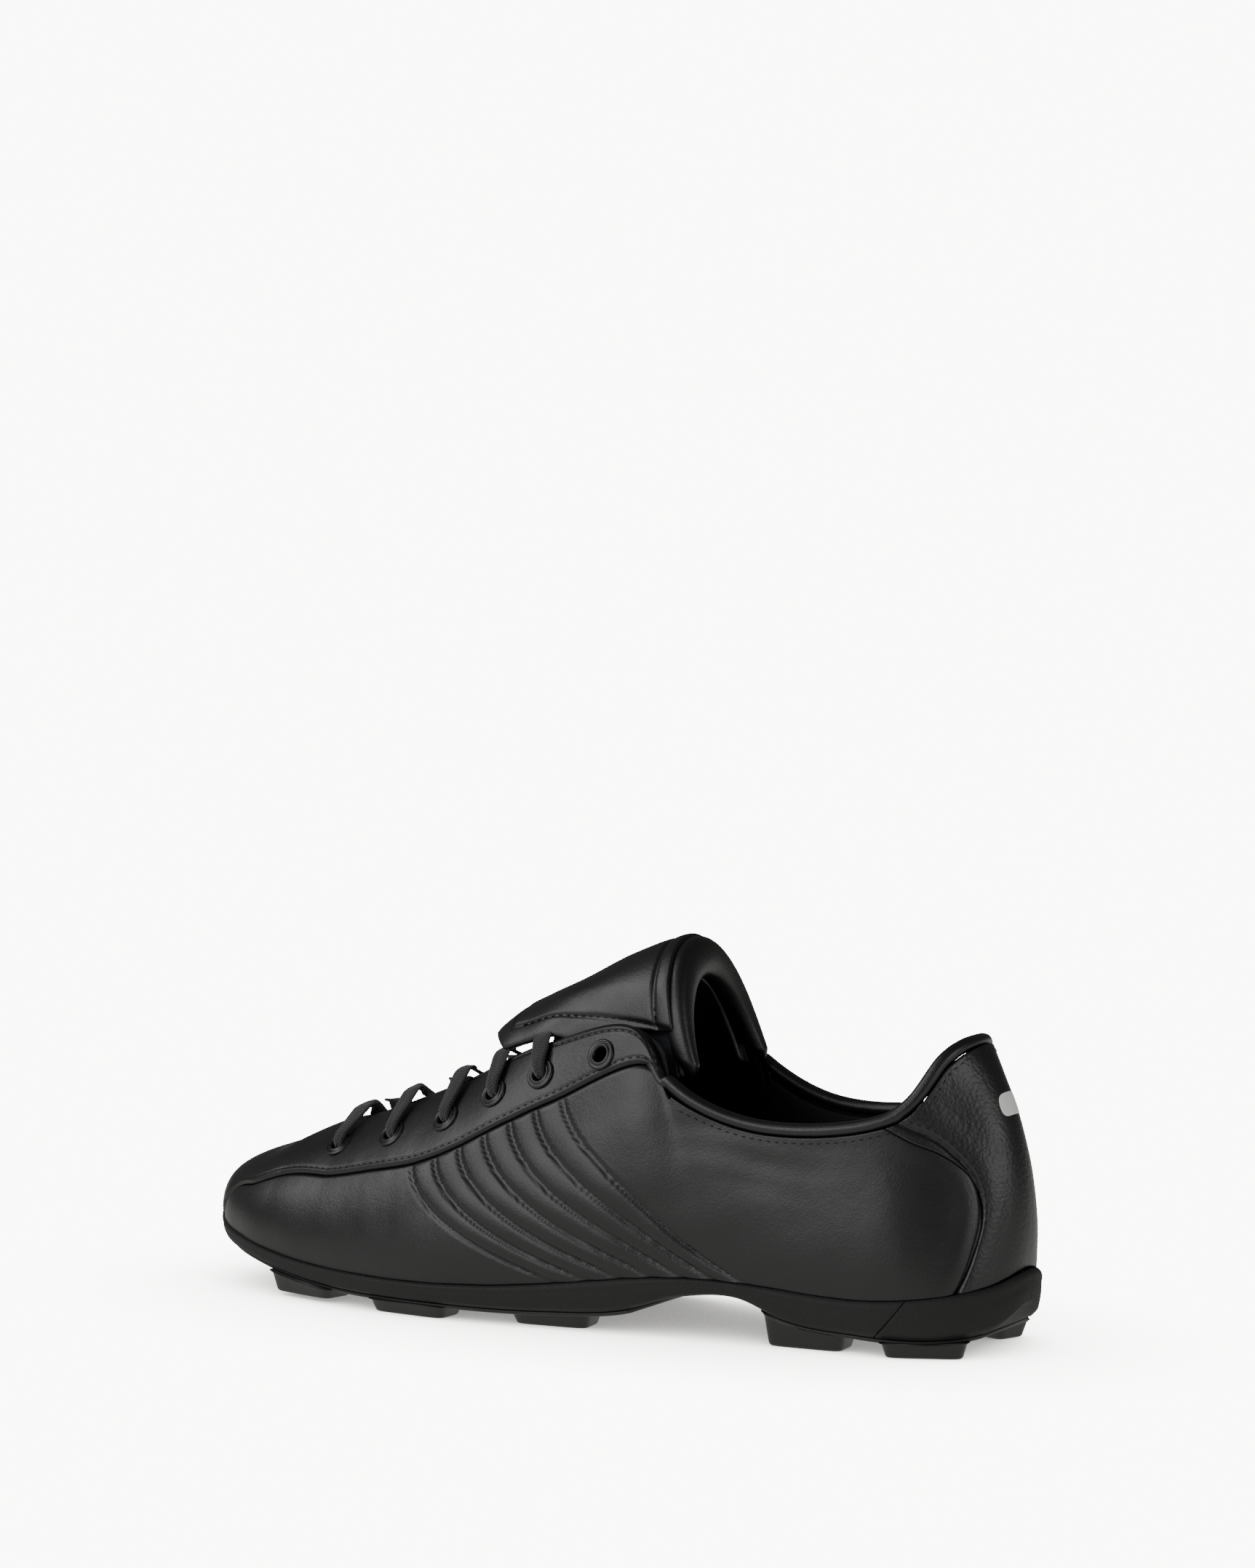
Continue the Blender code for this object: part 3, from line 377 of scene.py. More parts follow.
def bandMaterial(name, color, pitch, depth):
    # flat woven band: herringbone ribs from the piece's own UV, u along and v across, in mm
    mat, tree, shader = newMaterial(name, color, .8, Sheen_Weight=.25)
    uv = addNode(tree, "ShaderNodeUVMap", {"uv_map": "band"})
    parts = addNode(tree, "ShaderNodeSeparateXYZ", None, {"Vector": uv.outputs["UV"]})
    fold = addNode(tree, "ShaderNodeMath", {"operation": "PINGPONG", 1: 1.1}, {0: parts.outputs["Y"]})
    slant = addNode(tree, "ShaderNodeMath", {"operation": "ADD"}, {0: parts.outputs["X"], 1: fold.outputs[0]})
    turn = addNode(tree, "ShaderNodeMath", {"operation": "MULTIPLY", 1: 2 * math.pi / pitch},
                   {0: slant.outputs[0]})
    ribs = addNode(tree, "ShaderNodeMath", {"operation": "SINE"}, {0: turn.outputs[0]})
    relief = addNode(tree, "ShaderNodeBump", {"Distance": depth * mm, "Strength": 1.0},
                     {"Height": ribs.outputs[0]})
    tree.links.new(relief.outputs["Normal"], shader.inputs["Normal"])
    return mat


mats = {
    # smooth full-grain calf, semi-matt finish
    "calf": grainMaterial("calfLeather", "#0f0f10", .40, .55, .035, 9, .16, .05, Specular_IOR_Level=.5),
    # embossed pebble leather of the heel
    "pebble": grainMaterial("pebbledLeather", "#131314", .40, 1.0, .10, 9, .1, .04, Specular_IOR_Level=.5),
    # knitted lining
    "lining": wovenMaterial("liningTextile", "#0b0b0c", .9, .7, .05),
    # moulded side wall with a suede-like grain
    "wallRubber": grainMaterial("grainedRubber", "#1a1a1a", .72, .8, .12, 5, .12, .06, Specular_IOR_Level=.35),
    # smooth moulded stud rubber
    "studRubber": grainMaterial("studRubber", "#161616", .5, .5, .012, 7, .05, .04, Specular_IOR_Level=.4),
    # baked black enamel on brass
    "enamel": newMaterial("eyeletEnamel", "#111112", .34)[0],
    # bright nickel plate
    "nickel": newMaterial("nickelPlate", "#c9c9c6", .16, Metallic=1.0)[0],
    # navy woven textile of the tongue
    "navy": wovenMaterial("navyTextile", "#14161f", .85, .6, .06, Sheen_Weight=.2),
    # bonded black nylon thread, its colour set darker than the leather as painted shade for the sewn grooves it lies in
    "thread": newMaterial("nylonThreadPaintedShade", "#070707", .75)[0],
    # flat woven polyester lace
    "lace": bandMaterial("wovenLace", "#0c0c0d", 1.1, .12),
    # clear-coated plastic lace tip
    "aglet": newMaterial("agletPlastic", "#0d0d0d", .25)[0],
    # screen-printed white ink
    "ink": newMaterial("whiteInk", "#e9e9e6", .55)[0],
}
print("materials made")

# ---- mesh helpers

originShift = np.array([0, last["shiftY"], 0])


def newObject(name, points, faces, mat, uv=None):
    mesh = bpy.data.meshes.new(name)
    points = (np.asarray(points, float).reshape(-1, 3) - originShift) * mm
    quads = [np.asarray(f, np.int64) for f in faces if len(f)]
    mesh.vertices.add(len(points))
    mesh.vertices.foreach_set("co", points.astype(np.float32).ravel())
    loops = np.concatenate([q.ravel() for q in quads])
    sizes = np.concatenate([np.full(len(q), q.shape[1]) for q in quads])
    mesh.loops.add(len(loops))
    mesh.loops.foreach_set("vertex_index", loops.astype(np.int32))
    mesh.polygons.add(len(sizes))
    mesh.polygons.foreach_set("loop_start", (np.cumsum(sizes) - sizes).astype(np.int32))
    mesh.polygons.foreach_set("use_smooth", np.ones(len(sizes), bool))
    if uv is not None:
        layer = mesh.uv_layers.new(name="band")
        layer.data.foreach_set("uv", uv[loops].astype(np.float32).ravel())
    mesh.update(calc_edges=True)
    mesh.validate()
    mesh.materials.append(mat)
    obj = bpy.data.objects.new(name, mesh)
    bpy.context.collection.objects.link(obj)
    return obj


def gridFaces(rows, cols, first=0, wrap=False, close=False):
    i, j = np.meshgrid(np.arange(rows if close else rows - 1), np.arange(cols if wrap else cols - 1),
                       indexing="ij")
    k, n = (j + 1) % cols, (i + 1) % rows
    return np.stack([i * cols + j, i * cols + k, n * cols + k, n * cols + j], -1).reshape(-1, 4) + first


def splitFaces(faces):
    # quads that lost a corner to a weld become triangles
    keep = np.ones(len(faces), bool)
    tris = []
    for k in range(4):
        same = keep & (faces[:, k] == faces[:, (k + 1) % 4])
        tris.append(np.delete(faces[same], (k + 1) % 4, axis=1))
        keep &= ~same
    tris = np.concatenate(tris)
    good = (tris[:, 0] != tris[:, 1]) & (tris[:, 1] != tris[:, 2]) & (tris[:, 2] != tris[:, 0])
    return faces[keep], tris[good]


def closedSkin(name, outer, inner, grids, mat, holes=None, weldOn=None):
    # a skin with a front and a back, joined round every free edge
    count = len(outer)
    faces, first = [], 0
    for rows, cols in grids:
        faces.append(gridFaces(rows, cols, first))
        first += rows * cols
    faces = np.concatenate(faces)
    if holes is not None:
        middle = outer[faces].mean(1)
        faces = faces[~holes(middle)]
    keys = np.round((outer if weldOn is None else weldOn) / .01).astype(np.int64)
    _, lead, inverse = np.unique(keys, axis=0, return_index=True, return_inverse=True)
    faces = lead[inverse.reshape(-1)][faces]
    quads, tris = splitFaces(faces)
    ends = np.concatenate([np.stack([f[:, k], f[:, (k + 1) % f.shape[1]]], 1)
                           for f in (quads, tris) for k in range(f.shape[1])])
    forward, backward = ends[:, 0] * count + ends[:, 1], ends[:, 1] * count + ends[:, 0]
    rim = ends[~np.isin(backward, forward)]
    walls = np.stack([rim[:, 1], rim[:, 0], rim[:, 0] + count, rim[:, 1] + count], 1)
    points = np.concatenate([outer, inner])
    allFaces = [quads, tris, quads[:, ::-1] + count, tris[:, ::-1] + count, walls]
    used = np.unique(np.concatenate([f.ravel() for f in allFaces]))
    index = np.zeros(len(points), np.int64)
    index[used] = np.arange(len(used))
    return newObject(name, points[used], [index[f] for f in allFaces], mat)


def tube(name, path, side, up, section, mat, uv=None, closed=False):
    # a section of (side, up) points, possibly one for each place, carried along a path
    section = np.broadcast_to(np.asarray(section, float), (len(path),) + np.shape(section)[-2:])
    rings = path[:, None] + side[:, None] * section[..., :1] + up[:, None] * section[..., 1:]
    rows, cols = rings.shape[:2]
    faces = [gridFaces(rows, cols, wrap=True, close=closed)]
    if not closed:
        ends = np.stack([np.arange(cols)[::-1], np.arange((rows - 1) * cols, rows * cols)])
        faces.append(ends)
    return newObject(name, rings, faces, mat, uv)


def lathe(name, centre, axis, profile, mat, sides=56):
    # a closed (radius, height) profile turned about an axis
    axis = unit(np.asarray(axis, float))
    first = unit(np.cross(axis, [1.0, 0, 0]))
    second = np.cross(axis, first)
    t = np.arange(sides) * 2 * np.pi / sides
    spoke = np.cos(t)[:, None] * first + np.sin(t)[:, None] * second
    profile = np.asarray(profile, float)
    rings = centre + profile[:, 0, None, None] * spoke[None] + profile[:, 1, None, None] * axis
    return newObject(name, rings, [gridFaces(len(rings), sides, wrap=True, close=True)], mat)


def flipIfInside(obj):
    mesh = obj.data
    count = len(mesh.loop_triangles) or mesh.calc_loop_triangles() or len(mesh.loop_triangles)
    tri = np.empty(count * 3, np.int32)
    mesh.loop_triangles.foreach_get("vertices", tri)
    co = np.empty(len(mesh.vertices) * 3, np.float32)
    mesh.vertices.foreach_get("co", co)
    p = co.reshape(-1, 3)[tri.reshape(-1, 3)].astype(float)
    if np.einsum("ij,ij->i", p[:, 0], np.cross(p[:, 1], p[:, 2])).sum() < 0:
        mesh.flip_normals()
    return obj


def wear(obj, body, slotName, *nodes):
    # the piece stands for its CAD nodes and moves with their body
    flipIfInside(obj)
    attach(obj, body)
    if nodes:
        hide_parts(*nodes)
    return obj


def patch(aOf, hOf, us, vs):
    u, v = np.meshgrid(us, vs, indexing="ij")
    a = aOf(u, v)
    return a, hOf(a, u, v)


def mirrored(grid):
    return (2 - grid[0])[::-1], grid[1][::-1]


def upperSkin(name, patches, mat, holes=None):
    a = np.concatenate([p[0].ravel() for p in patches])
    h = np.concatenate([p[1].ravel() for p in patches])
    plain = upper(a, h)
    normal = upperNormal(a, h)
    outer = plain + normal * upperLift(a, h)[:, None]
    inner = plain - normal * last["leather"]
    return closedSkin(name, outer, inner, [p[0].shape for p in patches], mat, holes, plain)


# ---- eyelets: where they sit

eyelets = {
    "station": (.289, .353, .405, .451, .495, .543),
    "height": (.725, .738, .755, .812, .844, .870),
}


def eyeletFrame(pair, side):
    a = eyelets["station"][pair] if side < 0 else 2 - eyelets["station"][pair]
    h = eyelets["height"][pair]
    up = unit(upper(a, h + .01) - upper(a, h - .01))
    return upper(a, h), upperNormal(a, h), up


def nearEyelets(points):
    # true for points over an eyelet's hole
    hit = np.zeros(len(points), bool)
    for pair in range(6):
        for side in (-1, 1):
            centre, axis, _ = eyeletFrame(pair, side)
            away = points - centre
            along = away @ axis
            off = np.linalg.norm(away - along[:, None] * axis, axis=1)
            hit |= (off < 3.1) & (abs(along) < 9)
    return hit


# ---- upper panels

gap = .12 / 70      # half the visible seam opening, as a share of the wall
fine = 1
seamStart = last["eyestaySeam"][0][0] + .004


def seamAt(a, side):
    return np.clip(seamH(station(a)) + side * gap, 0, 1)


toe = patch(lambda u, v: u, lambda a, u, v: v, np.linspace(0, seamStart, 34 // fine),
            np.linspace(0, 1, 88 // fine))
above = patch(lambda u, v: u, lambda a, u, v: np.where(u > seamStart, seamAt(a, 1), 0) * (1 - v) + v,
              np.linspace(seamStart, last["eyestayEnd"], 250 // fine), np.linspace(0, 1, 88 // fine))
topPiece = upperSkin("vampAndEyestays", [toe, mirrored(toe), above, mirrored(above)], mats["calf"],
                     nearEyelets)
wear(topPiece, "boot", "calf_leather", "vamp_and_eyestays")
print("vamp and eyestays made")

rows = np.linspace(0, 1, 112 // fine)
heelTop = float(heelSeamS(1.0))
columns = np.linspace(seamStart + .001, heelTop, 330 // fine)
shares = (columns - columns[0]) / (columns[-1] - columns[0])


def quarterA(u, v):
    return columns[0] + u * (heelSeamS(v) - gap * .3 - columns[0])


def quarterH(a, u, v):
    # under the eyestay the panel ends at the seam, behind it at the binding
    behind = np.clip((a - last["eyestayEnd"]) / .012, 0, 1)
    return v * (seamAt(a, -1) * (1 - behind) + behind * collarH(np.maximum(a, last["eyestayEnd"] + .001)))


quarter = patch(quarterA, quarterH, shares, rows)
for word, grid in (("Lateral", quarter), ("Medial", mirrored(quarter))):
    piece = upperSkin("quarter" + word, [grid], mats["calf"])
    wear(piece, "boot", "calf_leather", "quarter_" + word.lower())

heelGrid = patch(lambda u, v: 1 + u * (1 - heelSeamS(v) - gap * .3), lambda a, u, v: v * collarH(a),
                 np.linspace(-1, 1, 150 // fine), rows)
heelPanel = upperSkin("heelPanel", [heelGrid], mats["pebble"])
wear(heelPanel, "boot", "pebbled_leather", "heel_panel")
print("quarters and heel panel made")

# plain white bar printed on the heel
mark = {"halfWidth": .030, "low": .64, "high": .735, "thickness": .12}
u, v = np.meshgrid(np.linspace(-1, 1, 60), np.linspace(-1, 1, 30), indexing="ij")
fade = np.sqrt(np.clip(1 - abs(u) ** 6, 0, 1)) * .9 + .1
markA = 1 + u * mark["halfWidth"]
markH = (mark["low"] + mark["high"]) / 2 + v * fade * (mark["high"] - mark["low"]) / 2
heelMark = closedSkin("heelMark", finished(markA.ravel(), markH.ravel(), -mark["thickness"]),
                      finished(markA.ravel(), markH.ravel(), .1), [u.shape], mats["ink"])
wear(heelMark, "boot", "pebbled_leather")

# ---- collar binding: a soft roll of leather over the padded edge

binding = {"width": 2.4, "height": 2.2, "start": .562, "taper": 6}
a = np.linspace(binding["start"], 1, 280 // fine)
a = np.concatenate([a, 2 - a[-2::-1]])
h = belowTop(a, last["bindingRadius"] - .2)
out = upperNormal(a, h)
path = upper(a, h) - out * (last["wall"] / 2 - .05)
tangent = unit(np.gradient(path, axis=0))
t = np.arange(20) * 2 * np.pi / 20
run = np.concatenate([[0], np.cumsum(np.linalg.norm(np.diff(path, axis=0), axis=1))])
ends = np.sqrt(np.clip(np.minimum(run, run[-1] - run) / binding["taper"], .04, 1))
section = np.stack([np.cos(t)[None] * binding["width"] * ends[:, None],
                    np.sin(t)[None] * binding["height"] * ends[:, None]], -1)
collarRoll = tube("collarBinding", path, out, np.cross(tangent, out), section, mats["calf"])
wear(collarRoll, "boot", "calf_leather", "collar_binding")

# ---- lining, with the padding behind it under the collar

lining = {"padRise": 1.5, "padReach": 17.0}


def liningDepth(a, h):
    # the pad swells inwards in a band under the collar
    below = (1 - h) * metric(a, h)[1]
    s = station(a)
    pad = lining["padRise"] * bump(below - 11, lining["padReach"] / 2) * np.clip((s - .62) / .06, 0, 1)
    return last["wall"] + pad


def liningH(a, u, v):
    # up to the top edge at the throat, a little into the binding behind it
    return v * np.where(station(a) < last["eyestayEnd"] + .004, 1.0, collarH(a, -.6))


split = .378
for name, start, stop, node in (("vampLining", 0, split - .002, "vamp_lining"),
                                ("quarterLining", split, 1, "quarter_lining")):
    if start:
        aRow = np.linspace(start, 2 - start, 420 // fine)
        grids = [patch(lambda u, v: u, liningH, aRow, np.linspace(0, 1, 60 // fine))]
    else:
        front = patch(lambda u, v: u, lambda a, u, v: v, np.linspace(0, stop, 120 // fine),
                      np.linspace(0, 1, 60 // fine))
        grids = [front, mirrored(front)]
    la = np.concatenate([g[0].ravel() for g in grids])
    lh = np.concatenate([g[1].ravel() for g in grids])
    normal = upperNormal(la, lh)
    plain = upper(la, lh)
    piece = closedSkin(name, plain - normal * (last["wall"] - 1),
                       plain - normal * liningDepth(la, lh)[:, None],
                       [g[0].shape for g in grids], mats["lining"], nearEyelets, plain)
    wear(piece, "boot", "lining_textile", node)
    if start:
        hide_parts("collar_padding")
print("binding and lining made")

# ---- threads

thread = {
    "radius": .22,
    "pitch": 2.7,
    "channelPitch": 2.4,
    "gap": .8,
    "rise": .06,
    "sink": .28,
    "seamMargin": 2.1,
    "edgeMargin": 2.4,
}


def stitchRow(path, normal, pitch=None):
    # separate stitches along a path: each is a short arched thread that dips into the leather
    pitch = pitch or thread["pitch"]
    run = np.concatenate([[0], np.cumsum(np.linalg.norm(np.diff(path, axis=0), axis=1))])
    count = max(int(run[-1] / pitch), 1)
    start = (np.arange(count) + .15) * (run[-1] / count)
    t = np.linspace(0, 1, 7)
    at = start[:, None] + t[None] * (pitch - thread["gap"])
    centre = np.stack([np.interp(at, run, path[:, k]) for k in range(3)], -1)
    up = unit(np.stack([np.interp(at, run, normal[:, k]) for k in range(3)], -1))
    along = unit(np.gradient(centre, axis=1))
    side = np.cross(along, up)
    arch = np.sin(np.pi * t)
    centre = centre + up * (arch * (thread["rise"] + thread["sink"]) - thread["sink"])[None, :, None]
    radius = thread["radius"] * (.55 + .45 * arch)
    turn = np.arange(7) * 2 * np.pi / 7
    ring = (centre[:, :, None] + side[:, :, None] * (np.cos(turn)[None] * radius[:, None])[None, :, :, None]
            + up[:, :, None] * (np.sin(turn)[None] * radius[:, None])[None, :, :, None])
    return ring


def threadObject(name, rings, body="boot"):
    points, quads, caps, first = [], [], [], 0
    for ring in rings:
        n, rowsHere, cols = ring.shape[:3]
        base = first + np.arange(n)[:, None, None] * rowsHere * cols
        quads.append((base + gridFaces(rowsHere, cols, wrap=True)[None]).reshape(-1, 4))
        caps.append((base[:, 0] + np.arange(cols)[::-1][None]).reshape(-1, cols))
        caps.append((base[:, 0] + (rowsHere - 1) * cols + np.arange(cols)[None]).reshape(-1, cols))
        points.append(ring.reshape(-1, 3))
        first += n * rowsHere * cols
    return wear(newObject(name, np.concatenate(points), [np.concatenate(quads), np.concatenate(caps)],
                          mats["thread"]), body, "lace_polyester")


def across(s, side):
    # the same station on the lateral (-1) or the medial (1) side
    return s if side < 0 else 2 - s


def onUpper(a, h):
    return finished(a, h, -.02), upperNormal(a, h)


threads = []
for side in (-1, 1):
    s = np.linspace(seamStart + .018, last["eyestayEnd"] - .006, 260)
    a = across(s, side)
    threads.append(stitchRow(*onUpper(a, seamH(s) + thread["seamMargin"] / metric(a, seamH(s))[1])))
    s = np.linspace(last["throatStart"] + .02, last["eyestayEnd"] - .012, 240)
    a = across(s, side)
    threads.append(stitchRow(*onUpper(a, 1 - thread["edgeMargin"] / metric(a, np.ones_like(s))[1])))
    for k in range(relief["channelCount"]):
        share = k / (relief["channelCount"] - 1)
        topS = relief["channelTop"][0] + share * np.diff(relief["channelTop"])[0]
        hLine = np.linspace(.035, float(seamH(topS)) - .02, 90)
        threads.append(stitchRow(*onUpper(across(channelS(k, hLine), side), hLine), thread["channelPitch"]))
    hLine = np.linspace(.02, float(collarH(np.array(heelTop))) - .02, 120)
    threads.append(stitchRow(*onUpper(across(heelSeamS(hLine) + 2.0 / last["length"], side), hLine)))
s = np.linspace(last["eyestayEnd"] + .02, 1, 200)
s = np.concatenate([s, 2 - s[-2::-1]])
threads.append(stitchRow(*onUpper(s, belowTop(s, 2 * last["bindingRadius"] + 1.6))))
threadObject("upperThreads", threads)
print("threads sewn")

# ---- eyelets and washers

eyeletProfile = ((2.35, -5.85), (2.35, -.2), (2.38, .35), (2.62, .78), (2.95, .98), (3.3, .96),
                 (3.55, .72), (3.75, .55), (3.95, .60), (4.2, .74), (4.5, .72), (4.8, .55), (4.97, .30),
                 (4.95, .1), (4.6, -.12), (2.8, -.12),
                 (2.75, -5.85))
washerProfile = ((2.95, -5.15), (2.95, -5.6), (3.1, -5.72), (3.7, -5.72), (3.98, -5.55), (4.0, -5.3), (3.9, -5.15))
for pair in range(6):
    for side, word in ((-1, "Lateral"), (1, "Medial")):
        centre, axis, _ = eyeletFrame(pair, side)
        lift = relief["topPieceLift"]
        profile = np.array(eyeletProfile)
        profile[:, 1] += np.where(profile[:, 1] > -1, lift, 0)
        ring = lathe(f"eyelet{word}{pair + 1}", centre, axis, profile, mats["enamel"])
        wear(ring, "boot", "eyelet_enamel", f"eyelet_{word.lower()}_{pair + 1}")
        ring = lathe(f"washer{word}{pair + 1}", centre, axis, washerProfile, mats["nickel"])
        wear(ring, "boot", "nickel", f"washer_{word.lower()}_{pair + 1}")
print("eyelets set")

# ---- sole: side wall and body, heel cup, studded plates

sole = {
    "split": .80,
    "slant": .035,
    "wallDrop": (0, .06, .12, .3, .55, .75, .88, 1.0),
    "wallInset": (1.1, .3, 0, .1, .25, .7, 1.2, 2.8),
    "plate": 1.5,
    "plateInset": 3.0,
    "studTaper": 1.3,
    "studWidth": 11.0,
    # station, inset, length, height of the flat end
    "forefoot": ((.27, 3.0, 24.0, 1.4), (.385, 4.0, 26.0, 0.0), (.497, 7.0, 24.0, 0.0)),
    "heel": ((.695, 5.0, 24.0, 0.0), (.822, 3.5, 23.0, 0.0)),
}


def soleBody(name, stations, slantAt, mat, gapZ=.05):
    # rounded wall profile on the lateral side, mirrored to the medial side, at each station
    t = np.linspace(0, 1, 30)[None]
    s = np.asarray(stations, float)[:, None]
    inset = smooth(sole["wallDrop"], sole["wallInset"], t) + 0 * s
    reach = np.clip(1 - abs(s - slantAt) / .12, 0, 1)
    s = s - sole["slant"] * t * reach
    top = featherZ(s) - gapZ
    z = top + (soleZ(s) - top) * t
    lateral = outline(s, inset, z)
    medial = outline(2 - s, inset, z)[:, ::-1]
    ring = np.concatenate([lateral, medial], 1)
    rowsHere, cols = ring.shape[:2]
    caps = np.stack([np.arange(cols)[::-1], np.arange((rowsHere - 1) * cols, rowsHere * cols)])
    return newObject(name, ring, [gridFaces(rowsHere, cols, wrap=True), caps], mat)


soleUnit = soleBody("soleUnit", np.linspace(0.0005, sole["split"], 300), sole["split"], mats["wallRubber"])
wear(soleUnit, "boot", "grained_rubber", "sole_unit")
heelCup = soleBody("heelCup", np.linspace(sole["split"] + .0016, .9995, 120), sole["split"] + .0016,
                   mats["wallRubber"])
wear(heelCup, "boot", "grained_rubber", "heel_cup")


def studRings(at, underZ):
    # a bar along the edge, rounded in plan (superellipse), with a soft edge where it stands
    a, inset, length, foot = at
    centre = outline(a, inset + sole["studWidth"] / 2, 0.0)
    e = 1e-3
    along = unit(outline(a + e, inset, 0.0) - outline(a - e, inset, 0.0))
    acrossWay = np.array([-along[1], along[0], 0])
    t = np.arange(64) * 2 * np.pi / 64
    px = np.sign(np.cos(t)) * abs(np.cos(t)) ** .32
    py = np.sign(np.sin(t)) * abs(np.sin(t)) ** .32
    rings = []
    levels = ((0, 2.2), (.05, 1.7), (.12, sole["studTaper"]), (.85, .25), (.93, .05), (.98, -.3), (1.0, -.9))
    for down, grow in levels:
        ring = (centre + (px * (length / 2 + grow))[:, None] * along
                + (py * (sole["studWidth"] / 2 + grow))[:, None] * acrossWay)
        high = underZ(np.arccos(np.clip(-2 * ring[:, 0] / last["length"], -1, 1)) / np.pi)
        ring[:, 2] = high + (foot - high) * down
        rings.append(ring)
    rings = np.stack(rings)[::-1]
    return rings


def studdedPlate(name, low, high, studs, mat):
    def under(s):
        return soleZ(s) - .05
    s = np.linspace(low, high, 120)[:, None]
    t = np.linspace(0, 1, 9)[None]
    inset = sole["plateInset"] + .7 * abs(2 * t - 1) ** 3 + 0 * s
    z = under(s) - sole["plate"] * t
    ring = np.concatenate([outline(s, inset, z), outline(2 - s, inset, z)[:, ::-1]], 1)
    rowsHere, cols = ring.shape[:2]
    points = [ring.reshape(-1, 3)]
    faces = [gridFaces(rowsHere, cols, wrap=True)]
    caps = [np.stack([np.arange(cols)[::-1], np.arange((rowsHere - 1) * cols, rowsHere * cols)])]
    first = rowsHere * cols
    bars = []
    for spot in studs:
        for a in (spot[0], 2 - spot[0]):
            rings = studRings((a,) + spot[1:], lambda q: under(q) - sole["plate"] * .8)
            n, m = rings.shape[:2]
            quads = gridFaces(n, m, first, wrap=True)
            ends = np.stack([np.arange(m)[::-1] + first, np.arange((n - 1) * m, n * m) + first])
            if a <= 1:
                quads, ends = quads[:, ::-1], ends[:, ::-1]
            faces.append(quads)
            bars.append(ends)
            points.append(rings.reshape(-1, 3))
            first += n * m
    return newObject(name, np.concatenate(points), [np.concatenate(faces)] + caps + [np.concatenate(bars)], mat)


wear(studdedPlate("forefootOutsole", .13, .56, sole["forefoot"], mats["studRubber"]), "boot", "stud_rubber",
     "forefoot_outsole")
wear(studdedPlate("heelOutsole", .672, .905, sole["heel"], mats["studRubber"]),
     "boot", "stud_rubber", "heel_outsole")

# sockliner: a textile-topped foam bed inside the boot
s = np.linspace(.065, .962, 260)[:, None]
t = np.linspace(0, 1, 9)[None]
edge = 1.2 + last["wall"] + 1.9
bedInset = edge + .8 * abs(2 * t - 1) ** 3 + 0 * s
bedZ = featherZ(s) + 7.7 - 3.0 * t
ring = np.concatenate([outline(s, bedInset, bedZ), outline(2 - s, bedInset, bedZ)[:, ::-1]], 1)
rowsHere, cols = ring.shape[:2]
bed = newObject("sockBed", ring, [gridFaces(rowsHere, cols, wrap=True),
                                  np.stack([np.arange(cols)[::-1], np.arange((rowsHere - 1) * cols, rowsHere * cols)])],
                mats["lining"])
wear(bed, "boot", "foam", "sockliner")
print("sole made")

# ---- tongue and flap

tongue = {
    "x": (-103, -84, -46, -10, 5, 14, 22, 27),
    "z": (42.5, 47.5, 62.5, 80.5, 92.0, 100.5, 107.5, 110.5),
    "half": (15, 18, 24, 25, 23.5, 22.8, 22.6, 22.8),
    "drop": (6, 6.5, 9, 12, 17, 22, 28, 32),
}
flap = {
    "x": (-35, -30, -20, -10, 0, 10, 20, 27),
    "z": (91.0, 94.5, 98.7, 103.5, 108.5, 113.3, 117.3, 119.2),
    "half": (16, 18.5, 20.3, 21.3, 22.2, 23.0, 24.0, 24.6),
    "drop": (5.5, 7, 8, 10, 15, 20.5, 26, 30),
    "foldRadius": 3.4,
    "foldSweep": 8.0,
    # the margins come down to the eyestays, and draw in at the fold to pass inside the collar
    "reach": ((-36, -28, -5, 12, 27), (1.05, 1.32, 1.24, 1.02, .93)),
    "overlayFront": -27.5,
    "overlaySide": .93,
    "overlayLift": .35,
    "puff": .9,
    "frontPad": 3.6,
}


def arch(x, v, table):
    # a saddle: middle height, half width and drop follow x; v runs from -1 (lateral) to 1 (medial)
    at = table["x"]
    bend = np.radians(np.interp(x, (at[0], at[-1]), (48, 80)))
    z = smooth(at, table["z"], x) - smooth(at, table["drop"], x) * (1 - np.cos(bend * v)) / (1 - np.cos(bend))
    y = smooth(at, table["half"], x) * np.sin(bend * v) / np.sin(bend)
    share = np.clip((x + 12) / (at[-1] + 12), 0, 1) ** 2
    return np.stack([x + flap["foldSweep"] * share * v**2, y, z], -1)


def archNormal(x, v, table):
    e = 1e-2
    return unit(np.cross(arch(x + e, v, table) - arch(x - e, v, table),
                         arch(x, v + e / 20, table) - arch(x, v - e / 20, table)))


def archSkin(name, table, x, v, near, far, mat):
    points = arch(x, v, table)
    normal = archNormal(x, v, table)
    outer = (points - normal * near[..., None]).reshape(-1, 3)
    inner = (points - normal * far[..., None]).reshape(-1, 3)
    return closedSkin(name, outer, inner, [x.shape], mat)


def rimRound(u, v, radius):
    # 1 inside, falling to 0 on the rim like a quarter circle; u and v are distances to the rim in mm
    d = np.clip(np.minimum(u, v) / radius, 0, 1)
    return np.sqrt(1 - (1 - d) ** 2)


